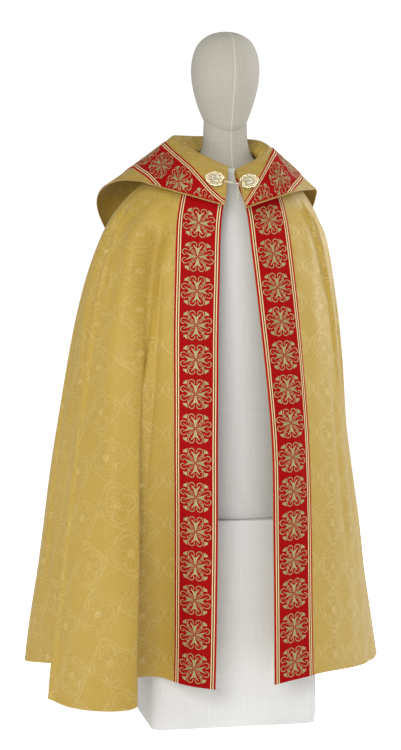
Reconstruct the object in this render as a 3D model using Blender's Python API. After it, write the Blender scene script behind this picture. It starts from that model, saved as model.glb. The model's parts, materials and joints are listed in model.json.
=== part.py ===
"""Cope vestment on a limbless display form.

Metres, +Z up. The form faces -Y and stands on Z = 0, centred on the Z axis. Right and left are the
wearer's own, so the right side lies at -X. Turns are in degrees about the Z axis from the centre
front, round by the right side (90), the back (180) and the left side (270).
"""
import math

import bmesh
import bpy
import numpy as np
from mathutils import Matrix, Vector

# ------------------------------------------------------------------ driving dimensions
SEAM_GAP = 0.0003          # clear space between two pieces that meet
CLOTH = 0.002              # damask with its interlining
BRAID = 0.0015             # embroidered orphrey band
BAND_WIDTH = 0.110
NORMAL_STEP = 0.002        # step used to feel the slope of a cloth surface
ROLL = 0.007               # how far from the hood's rim the cloth starts to roll over
SIDE_SEAM_RIGHT = 98.0     # turns of the two side seams
SIDE_SEAM_LEFT = 262.0
PIPE_FRONT = 47.0          # turn at which the right front's big pipe comes furthest forward

LINK_LENGTH = 0.0086
LINK_WIDTH = 0.0058
LINK_WIRE = 0.0012
LINK_PITCH = LINK_LENGTH - 2 * LINK_WIRE - SEAM_GAP
CHAIN_LINKS = 4            # between the right plate and the hook
TAIL_LINKS = 6             # loose end, hanging from the hook
PLATE_LENGTH = 0.046       # from the eye's centre to the pointed end
PLATE_WIDTH = 0.037
PLATE_THICK = 0.0012
PLATE_LIFT = 0.0044        # plate's underside over the hood at its middle
EYE_HOLE = 0.0016
EYE_RIM = 0.0031
HOOK_LOOP = 0.0022

COLUMN_WIDTH = 0.424
COLUMN_DEPTH = 0.270
COLUMN_CORNER = 0.028
COLUMN_TOP = 0.520

# Rings of the hanging cloth from the neck seam down to the hem: heights at the front, the side and
# the back, half widths on the wearer's right and left, the front and back in Y, and how far each
# front edge stands from the centre line.
BODY_COLUMNS = ("z_front", "z_side", "z_back", "wide_right", "wide_left", "front_y", "back_y",
                "gap_right", "gap_left")
BODY_ROWS = {
    "neck":     (1.385, 1.430, 1.455, 0.080, 0.080, -0.105, 0.080, 0.016, 0.000),
    "collar":   (1.355, 1.412, 1.430, 0.120, 0.118, -0.130, 0.115, 0.022, 0.004),
    "slope":    (1.320, 1.385, 1.395, 0.170, 0.165, -0.148, 0.150, 0.031, 0.014),
    "shoulder": (1.280, 1.345, 1.350, 0.226, 0.207, -0.160, 0.185, 0.040, 0.022),
    "arm":      (1.220, 1.270, 1.275, 0.290, 0.251, -0.170, 0.225, 0.046, 0.028),
    "chest":    (1.130, 1.150, 1.155, 0.342, 0.281, -0.180, 0.265, 0.050, 0.038),
    "waist":    (1.010, 1.010, 1.010, 0.377, 0.303, -0.192, 0.305, 0.055, 0.050),
    "hip":      (0.860, 0.860, 0.860, 0.401, 0.320, -0.203, 0.350, 0.058, 0.064),
    "thigh":    (0.700, 0.700, 0.700, 0.423, 0.342, -0.213, 0.390, 0.061, 0.075),
    "knee":     (0.530, 0.530, 0.530, 0.443, 0.368, -0.222, 0.425, 0.063, 0.076),
    "calf":     (0.350, 0.350, 0.350, 0.465, 0.391, -0.230, 0.455, 0.067, 0.075),
    "low":      (0.220, 0.220, 0.220, 0.481, 0.410, -0.236, 0.478, 0.070, 0.075),
    "hem":      (0.125, 0.125, 0.125, 0.489, 0.426, -0.240, 0.495, 0.073, 0.075),
}

# Hem: where each fold's crest or trough comes to, and the height at which it leaves the smooth ring.
HEM_COLUMNS = ("turn", "x", "y", "z", "starts_at")
HEM_FOLDS = {
    "right_edge":     (9.1, -0.073, -0.240, 0.123, 1.30),
    "right_band":     (21.0, -0.164, -0.182, 0.133, 1.28),
    "front_trough":   (26.5, -0.216, -0.150, 0.142, 1.30),
    "pipe_tuck":      (32.0, -0.286, -0.178, 0.132, 1.30),
    "pipe_inner":     (38.0, -0.270, -0.268, 0.106, 1.28),
    "pipe_front":     (47.0, -0.360, -0.292, 0.095, 1.25),
    "pipe_outer":     (61.0, -0.468, -0.120, 0.100, 1.28),
    "side_trough":    (73.0, -0.424, 0.015, 0.131, 1.30),
    "side_flat":      (85.0, -0.436, 0.095, 0.131, 1.30),
    "side_crest":     (104.0, -0.488, 0.240, 0.115, 1.25),
    "right_trough_1": (121.0, -0.384, 0.335, 0.128, 1.15),
    "right_crest_1":  (136.0, -0.368, 0.478, 0.116, 1.05),
    "right_trough_2": (151.0, -0.242, 0.428, 0.128, 1.00),
    "right_crest_2":  (166.0, -0.138, 0.556, 0.112, 1.02),
    "back_trough":    (181.0, -0.012, 0.452, 0.126, 0.98),
    "left_crest_2":   (194.0, 0.098, 0.550, 0.114, 1.02),
    "left_trough_2":  (208.0, 0.204, 0.436, 0.127, 1.02),
    "left_crest_1":   (224.0, 0.330, 0.478, 0.117, 1.06),
    "left_trough_1":  (239.0, 0.340, 0.320, 0.126, 1.15),
    "left_crest_0":   (254.0, 0.428, 0.226, 0.116, 1.22),
    "left_side":      (275.0, 0.440, 0.110, 0.114, 1.25),
    "left_turn":      (292.0, 0.399, 0.025, 0.118, 1.25),
    "left_flat":      (309.0, 0.337, -0.072, 0.127, 1.25),
    "left_trough_0":  (324.0, 0.262, -0.152, 0.138, 1.20),
    "left_band":      (337.0, 0.183, -0.211, 0.142, 1.28),
    "left_edge":      (350.5, 0.075, -0.241, 0.128, 1.30),
}

# Hood: at each turn, the rim, the point that the fall bends towards, its free edge, and how far the
# orphrey band's upper edge lies below the rim.
HOOD_COLUMNS = ("turn", "rim_x", "rim_y", "rim_z", "bend_x", "bend_y", "bend_z",
                "edge_x", "edge_y", "edge_z", "band_top")
HOOD_STATIONS = {
    "right_front":     (11.5, -0.0165, -0.119, 1.404, -0.027, -0.150, 1.360, -0.036, -0.166, 1.304, 0.1000),
    "right_breast":    (33.0, -0.052, -0.093, 1.422, -0.086, -0.126, 1.388, -0.116, -0.133, 1.328, 0.066),
    "right_collar":    (62.0, -0.089, -0.045, 1.447, -0.136, -0.075, 1.408, -0.172, -0.088, 1.347, 0.044),
    "right_neck":      (92.0, -0.112, 0.015, 1.468, -0.165, -0.013, 1.418, -0.211, -0.037, 1.363, 0.031),
    "right_shoulder":  (114.0, -0.120, 0.070, 1.490, -0.188, 0.052, 1.428, -0.255, 0.034, 1.372, 0.030),
    "right_wing":      (127.0, -0.108, 0.105, 1.494, -0.210, 0.108, 1.420, -0.294, 0.100, 1.362, 0.040),
    "right_wing_tip":  (137.0, -0.092, 0.122, 1.495, -0.272, 0.155, 1.386, -0.306, 0.165, 1.328, 0.062),
    "right_back_side": (153.0, -0.060, 0.137, 1.495, -0.240, 0.215, 1.388, -0.252, 0.250, 1.222, 0.155),
    "right_back":      (167.0, -0.030, 0.142, 1.495, -0.132, 0.238, 1.385, -0.142, 0.326, 1.090, 0.235),
    "centre_back":     (180.0, 0.000, 0.143, 1.495, 0.000, 0.236, 1.380, 0.000, 0.352, 1.030, 0.285),
    "left_back":       (193.0, 0.030, 0.142, 1.493, 0.128, 0.238, 1.382, 0.136, 0.324, 1.090, 0.235),
    "left_back_side":  (206.0, 0.060, 0.132, 1.490, 0.222, 0.208, 1.385, 0.236, 0.240, 1.222, 0.150),
    "left_wing_tip":   (222.0, 0.088, 0.105, 1.486, 0.240, 0.130, 1.405, 0.268, 0.140, 1.315, 0.050),
    "left_wing":       (243.0, 0.103, 0.060, 1.480, 0.188, 0.062, 1.417, 0.258, 0.070, 1.350, 0.030),
    "left_shoulder":   (274.0, 0.108, 0.000, 1.467, 0.170, -0.012, 1.412, 0.225, -0.015, 1.352, 0.018),
    "left_neck":       (300.0, 0.101, -0.052, 1.453, 0.145, -0.082, 1.405, 0.175, -0.100, 1.345, 0.014),
    "left_collar":     (322.0, 0.075, -0.087, 1.435, 0.110, -0.126, 1.394, 0.135, -0.150, 1.337, 0.025),
    "left_breast":     (340.0, 0.042, -0.109, 1.416, 0.062, -0.150, 1.377, 0.080, -0.173, 1.320, 0.053),
    "left_front":      (359.5, 0.000, -0.123, 1.396, 0.006, -0.158, 1.352, 0.0146, -0.177, 1.297, 0.098),
}

# Form: height, half width and half depth of each section, from the crown down.
FORM_SECTIONS = (
    (1.7435, 0.014, 0.017), (1.7405, 0.032, 0.038), (1.729, 0.055, 0.066), (1.711, 0.0727, 0.087),
    (1.680, 0.084, 0.101), (1.650, 0.0868, 0.105), (1.622, 0.0850, 0.103), (1.590, 0.0790, 0.096),
    (1.558, 0.0695, 0.083), (1.534, 0.0600, 0.069), (1.517, 0.0560, 0.060), (1.495, 0.0555, 0.057),
    (1.465, 0.0565, 0.058), (1.435, 0.0640, 0.063), (1.410, 0.0860, 0.073), (1.385, 0.1250, 0.084),
    (1.355, 0.1700, 0.096), (1.320, 0.2020, 0.106), (1.275, 0.2130, 0.114), (1.215, 0.2120, 0.120),
    (1.130, 0.2050, 0.122), (1.000, 0.1940, 0.117), (0.800, 0.1880, 0.113), (0.5203, 0.1880, 0.113),
)


# ------------------------------------------------------------------ curves and tables
def smooth_curve(knots, values):
    """A natural cubic curve through the values; it returns a function of the knot variable."""
    knots = np.asarray(knots, float)
    values = np.asarray(values, float)
    count = len(knots)
    step = np.diff(knots)
    system = np.eye(count)
    pull = np.zeros(count)
    for i in range(1, count - 1):
        system[i, i - 1:i + 2] = step[i - 1], 2 * (step[i - 1] + step[i]), step[i]
        pull[i] = 6 * ((values[i + 1] - values[i]) / step[i] - (values[i] - values[i - 1]) / step[i - 1])
    bend = np.linalg.solve(system, pull)

    def at(where):
        i = int(np.clip(np.searchsorted(knots, where) - 1, 0, count - 2))
        a = (knots[i + 1] - where) / step[i]
        b = 1 - a
        cubic = ((a ** 3 - a) * bend[i] + (b ** 3 - b) * bend[i + 1]) * step[i] ** 2 / 6
        return a * values[i] + b * values[i + 1] + cubic

    return at


def table_curves(columns, rows, knots):
    """One smooth curve for each named column of a table."""
    return {name: smooth_curve(knots, [row[i] for row in rows]) for i, name in enumerate(columns)}


def body_lengths():
    """Length of cloth from the neck seam to each ring, measured down the side."""
    side = [(row[3], row[1]) for row in BODY_ROWS.values()]
    lengths = [0.0]
    for (wide_a, z_a), (wide_b, z_b) in zip(side, side[1:]):
        lengths.append(lengths[-1] + math.hypot(wide_b - wide_a, z_b - z_a))
    return lengths


BODY_DOWN = body_lengths()
BODY = table_curves(BODY_COLUMNS, list(BODY_ROWS.values()), BODY_DOWN)
HEM = table_curves(HEM_COLUMNS[1:], [row[1:] for row in HEM_FOLDS.values()],
                   [row[0] for row in HEM_FOLDS.values()])
HOOD = table_curves(HOOD_COLUMNS[1:], [row[1:] for row in HOOD_STATIONS.values()],
                    [row[0] for row in HOOD_STATIONS.values()])


# ------------------------------------------------------------------ the hanging cloth
def smooth_ring(down, turn):
    """A point of the cloth without its folds, down metres below the neck seam."""
    angle = math.radians(turn)
    sine, cosine = math.sin(angle), math.cos(angle)
    ring = {name: curve(down) for name, curve in BODY.items()}
    wide = (ring["wide_right"] + ring["wide_left"]) / 2 + (ring["wide_right"] - ring["wide_left"]) / 2 * sine
    middle = (ring["front_y"] + ring["back_y"]) / 2
    half = (ring["back_y"] - ring["front_y"]) / 2
    ends = (ring["z_front"] + ring["z_back"]) / 2
    height = (ring["z_side"] + (ring["z_front"] - ring["z_back"]) / 2 * cosine
              + (ends - ring["z_side"]) * cosine ** 2)
    return Vector((-wide * sine, middle - half * cosine, height))


def body_point(down, turn):
    """A point of the cloth with its folds, which grow from nothing to their full size at the hem."""
    point = smooth_ring(down, turn)
    hem_down = BODY_DOWN[-1]
    starts = HEM["starts_at"](turn)
    base = smooth_ring(hem_down, turn)
    grown = min(max((starts - point.z) / (starts - base.z), 0.0), 1.0)
    target = Vector((HEM["x"](turn), HEM["y"](turn), HEM["z"](turn)))
    return point + (target - base) * grown ** 1.35


def edge_turn(down, side):
    """Turn of a front edge at a ring."""
    wide = (BODY["wide_right"](down) + BODY["wide_left"](down)) / 2
    if side == "right":
        return math.degrees(math.asin(max(BODY["gap_right"](down), 0.0) / wide))
    return 360.0 - math.degrees(math.asin(max(BODY["gap_left"](down), 0.0) / wide))


def band_turns(down, side, shares):
    """Turns at which the band's shares of its width lie, measured along the cloth from the edge."""
    start = edge_turn(down, side)
    way = 1.0 if side == "right" else -1.0
    turns = [start + way * 0.5 * i for i in range(200)]
    reached = [0.0]
    last = body_point(down, turns[0])
    for turn in turns[1:]:
        here = body_point(down, turn)
        reached.append(reached[-1] + (here - last).length)
        last = here
        if reached[-1] > BAND_WIDTH * 1.1:
            break
    return [float(np.interp(share * BAND_WIDTH, reached, turns[:len(reached)])) for share in shares]


BAND_SHARES = (0.0, 0.2, 0.4, 0.6, 0.8, 1.0)
ROWS_DOWN = list(np.interp(np.arange(16) / 15, (0, 0.35, 1), (0, 0.30, BODY_DOWN[-1])))


def front_turns(down, side):
    """Columns of a front panel: the band's own, then on to the side seam."""
    band = band_turns(down, side, BAND_SHARES)
    seam = SIDE_SEAM_RIGHT if side == "right" else SIDE_SEAM_LEFT
    way = 1.0 if side == "right" else -1.0
    gap_turn = way * SEAM_GAP / 2 / (body_point(down, seam + 1) - body_point(down, seam)).length
    last = seam - gap_turn
    if side == "right":
        rest = list(np.linspace(band[-1], PIPE_FRONT, 11))[1:] + list(np.linspace(PIPE_FRONT, last, 12))[1:]
    else:
        rest = list(np.linspace(band[-1], last, 14))[1:]
    return band + rest


def back_turns(down):
    """Columns of the back panel between the two side seams."""
    right = SEAM_GAP / 2 / (body_point(down, SIDE_SEAM_RIGHT + 1) - body_point(down, SIDE_SEAM_RIGHT)).length
    left = SEAM_GAP / 2 / (body_point(down, SIDE_SEAM_LEFT + 1) - body_point(down, SIDE_SEAM_LEFT)).length
    return list(np.linspace(SIDE_SEAM_RIGHT + right, SIDE_SEAM_LEFT - left, 52))


def body_normal(down, turn):
    """Outward normal of the hanging cloth."""
    reach = 0.15
    low, high = max(down - NORMAL_STEP, 0.0), min(down + NORMAL_STEP, BODY_DOWN[-1])
    around = body_point(down, turn + reach) - body_point(down, turn - reach)
    along = body_point(high, turn) - body_point(low, turn)
    return around.cross(along).normalized()


# ------------------------------------------------------------------ the hood
def bezier(a, b, c, t):
    return a * (1 - t) ** 2 + b * (2 * t * (1 - t)) + c * t ** 2


def hood_curve(turn, run):
    """The hood's section: run goes from -1 at the neck seam to 0 at the rim and 1 at the free edge."""
    rim = Vector((HOOD["rim_x"](turn), HOOD["rim_y"](turn), HOOD["rim_z"](turn)))
    if run < 0:
        seam = body_point(0.0, turn) + Vector((0, 0, CLOTH * 1.15 + SEAM_GAP))
        middle = (seam + rim) / 2 - Vector((0, 0, 0.004))
        return bezier(rim, middle, seam, -run)
    bend = Vector((HOOD["bend_x"](turn), HOOD["bend_y"](turn), HOOD["bend_z"](turn)))
    edge = Vector((HOOD["edge_x"](turn), HOOD["edge_y"](turn), HOOD["edge_z"](turn)))
    return bezier(rim, bend, edge, run)


def fall_length(turn):
    points = [hood_curve(turn, i / 12) for i in range(13)]
    return sum((b - a).length for a, b in zip(points, points[1:]))


def stand_length(turn):
    return max((hood_curve(turn, -1) - hood_curve(turn, 0)).length, 0.01)


def hood_point(turn, run):
    """The section with its rim rolled over, so the cloth turns without a crease."""
    up = ROLL / stand_length(turn)
    out = ROLL / fall_length(turn)
    fade = max(0.0, 1 - abs(run) / (3 * (up if run < 0 else out)))
    if fade == 0.0:
        return hood_curve(turn, run)
    before = hood_curve(turn, max(run - up, -1.0))
    after = hood_curve(turn, run + out)
    rolled = (before + hood_curve(turn, run) * 2 + after) / 4
    return hood_curve(turn, run).lerp(rolled, fade)


def hood_normal(run, turn):
    """Normal of the hood on its showing side, which faces the neck inside and out on the fall."""
    reach = 0.4
    low, high = max(run - 0.02, -1.0), min(run + 0.02, 1.0)
    around = hood_point(min(turn + reach, 359.5), run) - hood_point(max(turn - reach, 11.5), run)
    along = hood_point(turn, high) - hood_point(turn, low)
    return around.cross(along).normalized()


def band_runs(turn):
    """Where the hood's band starts and ends down the fall, kept just inside the free edge."""
    length = fall_length(turn)
    top = min(max(HOOD["band_top"](turn), 0.004) / length, 0.955)
    low = min(top + BAND_WIDTH / length, 0.985)
    return top, low


def fall_runs(turn):
    """Rows of the fall: rim to band, across the band, and band to free edge."""
    top, low = band_runs(turn)
    rim = SEAM_GAP / 2 / fall_length(turn)
    return ([rim, 0.10 * top, 0.55 * top]
            + [top + (low - top) * i / 3 for i in range(4)]
            + [(low + 1) / 2, 1.0])


HOOD_TURNS = sorted(set(list(np.linspace(11.5, 110, 16)) + list(np.linspace(110, 250, 23))
                        + list(np.linspace(250, 359.5, 16))))


# ------------------------------------------------------------------ solids
def paint(name, colour, roughness, metallic=0.0):
    """A plain material of one colour."""
    made = bpy.data.materials.new(name)
    made.use_nodes = True
    shader = made.node_tree.nodes["Principled BSDF"]
    shader.inputs["Base Color"].default_value = (*colour, 1.0)
    shader.inputs["Roughness"].default_value = roughness
    shader.inputs["Metallic"].default_value = metallic
    return made


def add_solid(name, points, faces, material, sharp=math.radians(50)):
    """A named object from points and faces, shaded smooth apart from its sharp edges."""
    mesh = bpy.data.meshes.new(name)
    mesh.from_pydata([tuple(p) for p in points], [], faces)
    mesh.update()
    mesh.shade_smooth()
    mesh.set_sharp_from_angle(angle=sharp)
    made = bpy.data.objects.new(name, mesh)
    made.data.materials.append(material)
    bpy.context.scene.collection.objects.link(made)
    return made


def wall(name, points, normals, low, high, material):
    """A closed wall of cloth from rows of points: low and high are its two faces along the normals.

    The points run down the cloth row by row, and round it by growing turn inside a row. Every square
    is split along the same diagonal, so a wall laid on another follows its facets exactly.
    """
    rows, columns = len(points), len(points[0])
    outer = [points[r][c] + normals[r][c] * high for r in range(rows) for c in range(columns)]
    inner = [points[r][c] + normals[r][c] * low for r in range(rows) for c in range(columns)]
    count = rows * columns
    faces = []
    for r in range(rows - 1):
        for c in range(columns - 1):
            a, b = r * columns + c, r * columns + c + 1
            d, e = a + columns, b + columns
            faces += [(a, b, e), (a, e, d)]
            faces += [(count + e, count + b, count + a), (count + d, count + e, count + a)]
    rim = ([c for c in range(columns)]
           + [r * columns + columns - 1 for r in range(1, rows)]
           + [(rows - 1) * columns + c for c in range(columns - 2, -1, -1)]
           + [r * columns for r in range(rows - 2, 0, -1)])
    for a, b in zip(rim, rim[1:] + rim[:1]):
        faces.append((b, a, count + a, count + b))
    return add_solid(name, outer + inner, faces, material)


def body_wall(name, turns_at, low, high, material, rows_down=None):
    """A wall on the hanging cloth, whose columns are given by turns_at for each row."""
    rows_down = rows_down or ROWS_DOWN
    grid = [[(down, turn) for turn in sorted(turns_at(down))] for down in rows_down]
    points = [[body_point(*place) for place in row] for row in grid]
    normals = [[body_normal(*place) for place in row] for row in grid]
    return wall(name, points, normals, low, high, material)


def hood_wall(name, runs_at, turns, low, high, material):
    """A wall on the hood, whose rows are given by runs_at for each turn."""
    runs = [runs_at(turn) for turn in turns]
    points = [[hood_point(turn, run[k]) for turn, run in zip(turns, runs)] for k in range(len(runs[0]))]
    normals = [[hood_normal(run[k], turn) for turn, run in zip(turns, runs)] for k in range(len(runs[0]))]
    return wall(name, points, normals, low, high, material)


# ------------------------------------------------------------------ the pieces
def make_form(linen, column_paint):
    """Egg head, neck, shoulders and torso in one smooth skin, standing on a plain column."""
    segments = 28
    points = [Vector((0, 0, 1.744))]
    for height, half_width, half_depth in FORM_SECTIONS:
        for s in range(segments):
            angle = math.tau * s / segments
            points.append(Vector((half_width * math.sin(angle), -half_depth * math.cos(angle), height)))
    faces = [(0, 1 + s, 1 + (s + 1) % segments) for s in range(segments)]
    for row in range(len(FORM_SECTIONS) - 1):
        for s in range(segments):
            a, b = 1 + row * segments + s, 1 + row * segments + (s + 1) % segments
            faces.append((a, a + segments, b + segments, b))
    last = 1 + (len(FORM_SECTIONS) - 1) * segments
    faces.append(tuple(last + s for s in reversed(range(segments))))
    bust = add_solid("form_bust", points, faces, linen)

    corners = []
    for quarter in range(4):
        sign_x = (1, -1, -1, 1)[quarter]
        sign_y = (1, 1, -1, -1)[quarter]
        centre = Vector((sign_x * (COLUMN_WIDTH / 2 - COLUMN_CORNER), sign_y * (COLUMN_DEPTH / 2 - COLUMN_CORNER), 0))
        for step in range(7):
            angle = math.radians(90 * quarter + 15 * step)
            corners.append(centre + Vector((math.cos(angle), math.sin(angle), 0)) * COLUMN_CORNER)
    count = len(corners)
    points = corners + [p + Vector((0, 0, COLUMN_TOP)) for p in corners]
    faces = [tuple(reversed(range(count))), tuple(range(count, 2 * count))]
    faces += [(i, (i + 1) % count, (i + 1) % count + count, i + count) for i in range(count)]
    column = add_solid("form_column", points, faces, column_paint, math.radians(30))
    return bust, column


def make_cope(damask, braid):
    """Two fronts, the back, and the orphrey band on each front edge."""
    for side in ("right", "left"):
        body_wall("front_" + side, lambda down, side=side: front_turns(down, side), -CLOTH, 0.0, damask)
    body_wall("back", back_turns, -CLOTH, 0.0, damask)
    band_rows = [down for down in ROWS_DOWN if down > 0.02]
    for side in ("right", "left"):
        body_wall("orphrey_front_" + side, lambda down, side=side: band_turns(down, side, BAND_SHARES),
                  SEAM_GAP, SEAM_GAP + BRAID, braid, band_rows)


def make_hood(damask, braid):
    """The hood's stand inside, its fall outside, and the band on the fall."""
    lift = [-1.0, -0.55, -0.15]
    hood_wall("hood_lining", lambda turn: lift + [-SEAM_GAP / 2 / stand_length(turn)], HOOD_TURNS,
              -CLOTH, 0.0, damask)
    hood_wall("hood_fall", fall_runs, HOOD_TURNS, -CLOTH, 0.0, damask)
    hood_wall("orphrey_hood", lambda turn: fall_runs(turn)[3:7], HOOD_TURNS,
              SEAM_GAP, SEAM_GAP + BRAID, braid)


def plate_outline():
    """A leaf of nine scallops with a pointed outer end and a round nub at the origin for its eye."""
    outline = []
    scallops, steps = 9, 5
    middle = PLATE_LENGTH * 0.52
    for k in range(scallops * steps + 1):
        share = k / (scallops * steps)
        angle = math.radians(-162 + 324 * share)
        swell = 1 + 0.08 * abs(math.sin(math.pi * scallops * share))
        point = 1 + 0.10 * max(0.0, math.cos(angle)) ** 6
        outline.append(Vector((middle + (PLATE_LENGTH - middle) * 0.90 * math.cos(angle) * swell * point,
                               PLATE_WIDTH * 0.46 * math.sin(angle) * swell, 0)))
    for step in range(7):
        angle = math.radians(60 + 40 * step)
        outline.append(Vector((EYE_RIM * math.cos(angle), EYE_RIM * math.sin(angle), 0)))
    return outline


def make_plate(name, place, metal):
    """One clasp plate: a scalloped leaf with a raised middle, pierced for the chain at its eye."""
    outline = plate_outline()
    middle = Vector((PLATE_LENGTH * 0.52, 0, 0))
    crown = [middle + Vector((PLATE_LENGTH * 0.30 * math.cos(math.tau * i / 24),
                              PLATE_WIDTH * 0.32 * math.sin(math.tau * i / 24), 0)) for i in range(24)]
    build = bmesh.new()
    face = build.faces.new([build.verts.new(p) for p in outline])
    build.faces.ensure_lookup_table()
    raised = bmesh.ops.extrude_face_region(build, geom=[face])
    bmesh.ops.translate(build, vec=(0, 0, PLATE_THICK),
                        verts=[v for v in raised["geom"] if isinstance(v, bmesh.types.BMVert)])
    bmesh.ops.triangulate(build, faces=[f for f in build.faces if len(f.verts) > 4])
    bmesh.ops.recalc_face_normals(build, faces=build.faces)
    mesh = bpy.data.meshes.new(name)
    build.to_mesh(mesh)
    build.free()
    plate = bpy.data.objects.new(name, mesh)
    plate.data.materials.append(metal)
    bpy.context.scene.collection.objects.link(plate)

    dome_points = ([p + Vector((0, 0, PLATE_THICK / 2)) for p in crown]
                   + [middle.lerp(p, 0.8) + Vector((0, 0, PLATE_THICK * 1.9)) for p in crown]
                   + [middle.lerp(p, 0.4) + Vector((0, 0, PLATE_THICK * 2.5)) for p in crown])
    size = len(crown)
    faces = [tuple(reversed(range(size))), tuple(range(2 * size, 3 * size))]
    for ring in range(2):
        for i in range(size):
            a, b = ring * size + i, ring * size + (i + 1) % size
            faces.append((a, b, b + size, a + size))
    dome = add_solid(name + "_dome", dome_points, faces, metal)
    bpy.ops.mesh.primitive_cylinder_add(vertices=16, radius=EYE_HOLE, depth=0.01)
    hole = bpy.context.object
    hole.name = name + "_eye_cutter"
    for helper, operation in ((dome, "UNION"), (hole, "DIFFERENCE")):
        helper.parent = plate
        helper.hide_render = True
        helper.display_type = "WIRE"
        cut = plate.modifiers.new(helper.name, "BOOLEAN")
        cut.operation = operation
        cut.object = helper
        cut.solver = "EXACT"
    plate.matrix_world = place
    return plate


def wire_solid(name, route, sides, place, metal, closed=True):
    """A round wire along a route in the XY plane, closed on itself or with flat ends."""
    points, faces = [], []
    count = len(route)
    for i, here in enumerate(route):
        if closed:
            before, after = route[i - 1], route[(i + 1) % count]
        else:
            before, after = route[max(i - 1, 0)], route[min(i + 1, count - 1)]
        along = (after - before).normalized()
        side = along.cross(Vector((0, 0, 1))).normalized()
        up = side.cross(along)
        for s in range(sides):
            angle = math.tau * s / sides
            points.append(here + (side * math.cos(angle) + up * math.sin(angle)) * LINK_WIRE / 2)
    spans = count if closed else count - 1
    for i in range(spans):
        for s in range(sides):
            a, b = i * sides + s, i * sides + (s + 1) % sides
            c, d = (i + 1) % count * sides + (s + 1) % sides, (i + 1) % count * sides + s
            faces.append((a, d, c, b))
    if not closed:
        faces.append(tuple(range(sides)))
        faces.append(tuple(reversed(range((count - 1) * sides, count * sides))))
    made = add_solid(name, points, faces, metal, math.radians(80))
    made.matrix_world = place
    return made


def link_route():
    """Centre line of one oval link, lying in its own XY plane with its length along X."""
    radius = (LINK_WIDTH - LINK_WIRE) / 2
    half = LINK_LENGTH / 2 - LINK_WIRE / 2 - radius
    route = []
    for end in (1, -1):
        for step in range(6):
            angle = math.radians(-90 + 36 * step)
            route.append(Vector((end * (half + radius * math.cos(angle)), end * radius * math.sin(angle), 0)))
    return route


def along_frame(origin, along, face):
    """A frame whose X axis runs along a direction and whose Z axis faces another."""
    x = along.normalized()
    y = face.cross(x).normalized()
    z = x.cross(y)
    return Matrix.Translation(origin) @ Matrix((x, y, z)).transposed().to_4x4()


def hook_route(reach):
    """Centre line of the S hook: one open loop round the last link, one through the left eye."""
    route = []
    for step in range(8):
        angle = math.radians(60 + 30 * step)
        route.append(Vector((HOOK_LOOP + HOOK_LOOP * math.cos(angle), HOOK_LOOP * math.sin(angle), 0)))
    for step in range(7):
        angle = math.radians(90 - 30 * step)
        route.append(Vector((reach - HOOK_LOOP + HOOK_LOOP * math.cos(angle), HOOK_LOOP * math.sin(angle), 0)))
    return route


def plate_place(turn, run, outer_turn, outer_run):
    """Where a plate lies on the hood: over its middle, pointing to its outer end, clear of the cloth."""
    middle = hood_point(turn, run)
    face = hood_normal(run, turn)
    along = hood_point(outer_turn, outer_run) - middle
    along = (along - face * along.dot(face)).normalized()
    eye = middle - along * PLATE_LENGTH * 0.52 + face * PLATE_LIFT
    return along_frame(eye, along, face)


def make_clasp(metal):
    """Two plates, the chain and hook that join them, and the chain's loose end."""
    right = plate_place(20.5, 0.52, 28.0, 0.54)
    left = plate_place(352.0, 0.48, 344.0, 0.52)
    make_plate("clasp_plate_right", right, metal)
    make_plate("clasp_plate_left", left, metal)

    bar = (LINK_LENGTH - LINK_WIRE) / 2
    play = EYE_HOLE - LINK_WIRE / 2 - SEAM_GAP
    lift = right.to_3x3() @ Vector((0, 0, PLATE_THICK / 2))
    start = right.translation + lift
    end = left.translation + lift
    across = (end - start).normalized()
    face = (right.to_3x3() @ Vector((0, 0, 1)) + left.to_3x3() @ Vector((0, 0, 1))).normalized()
    upright = across.cross(face)
    centre = start + across * (play + bar)
    for k in range(CHAIN_LINKS):
        place = along_frame(centre, across, upright if k % 2 == 0 else face)
        wire_solid("chain_link_%d" % (k + 1), link_route(), 8, place, metal)
        centre = centre + across * LINK_PITCH
    hook_start = centre - across * bar
    hook_reach = (end - across * play - hook_start).length
    wire_solid("clasp_hook", hook_route(hook_reach), 8, along_frame(hook_start, across, upright), metal,
               closed=False)

    share = 0.80
    rise = HOOK_LOOP * (2 * share - 1)
    level = Vector((across.x, across.y, 0)).normalized()
    hook_frame = along_frame(hook_start, across, upright)
    hang = hook_frame @ Vector((HOOK_LOOP + (hook_reach - 2 * HOOK_LOOP) * share, rise, 0))
    down = Vector((0, 0, -1))
    centre = hang + down * (bar - LINK_WIRE - SEAM_GAP)
    aside = down.cross(level)
    for k in range(TAIL_LINKS):
        place = along_frame(centre, down, level if k % 2 == 0 else aside)
        wire_solid("tail_link_%d" % (k + 1), link_route(), 8, place, metal)
        centre = centre + down * LINK_PITCH


def main():
    for old in list(bpy.data.objects):
        bpy.data.objects.remove(old, do_unlink=True)
    linen = paint("form_linen", (0.55, 0.52, 0.42), 0.85)
    column_paint = paint("column_cloth", (0.62, 0.62, 0.61), 0.85)
    damask = paint("gold_damask", (0.56, 0.40, 0.13), 0.55)
    braid = paint("red_orphrey", (0.50, 0.015, 0.03), 0.7)
    metal = paint("clasp_metal", (0.62, 0.56, 0.38), 0.35, 1.0)
    make_form(linen, column_paint)
    make_cope(damask, braid)
    make_hood(damask, braid)
    make_clasp(metal)


main()
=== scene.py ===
import json
import math

import bmesh
import bpy
import numpy as np
from mathutils import Matrix, Vector

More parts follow.
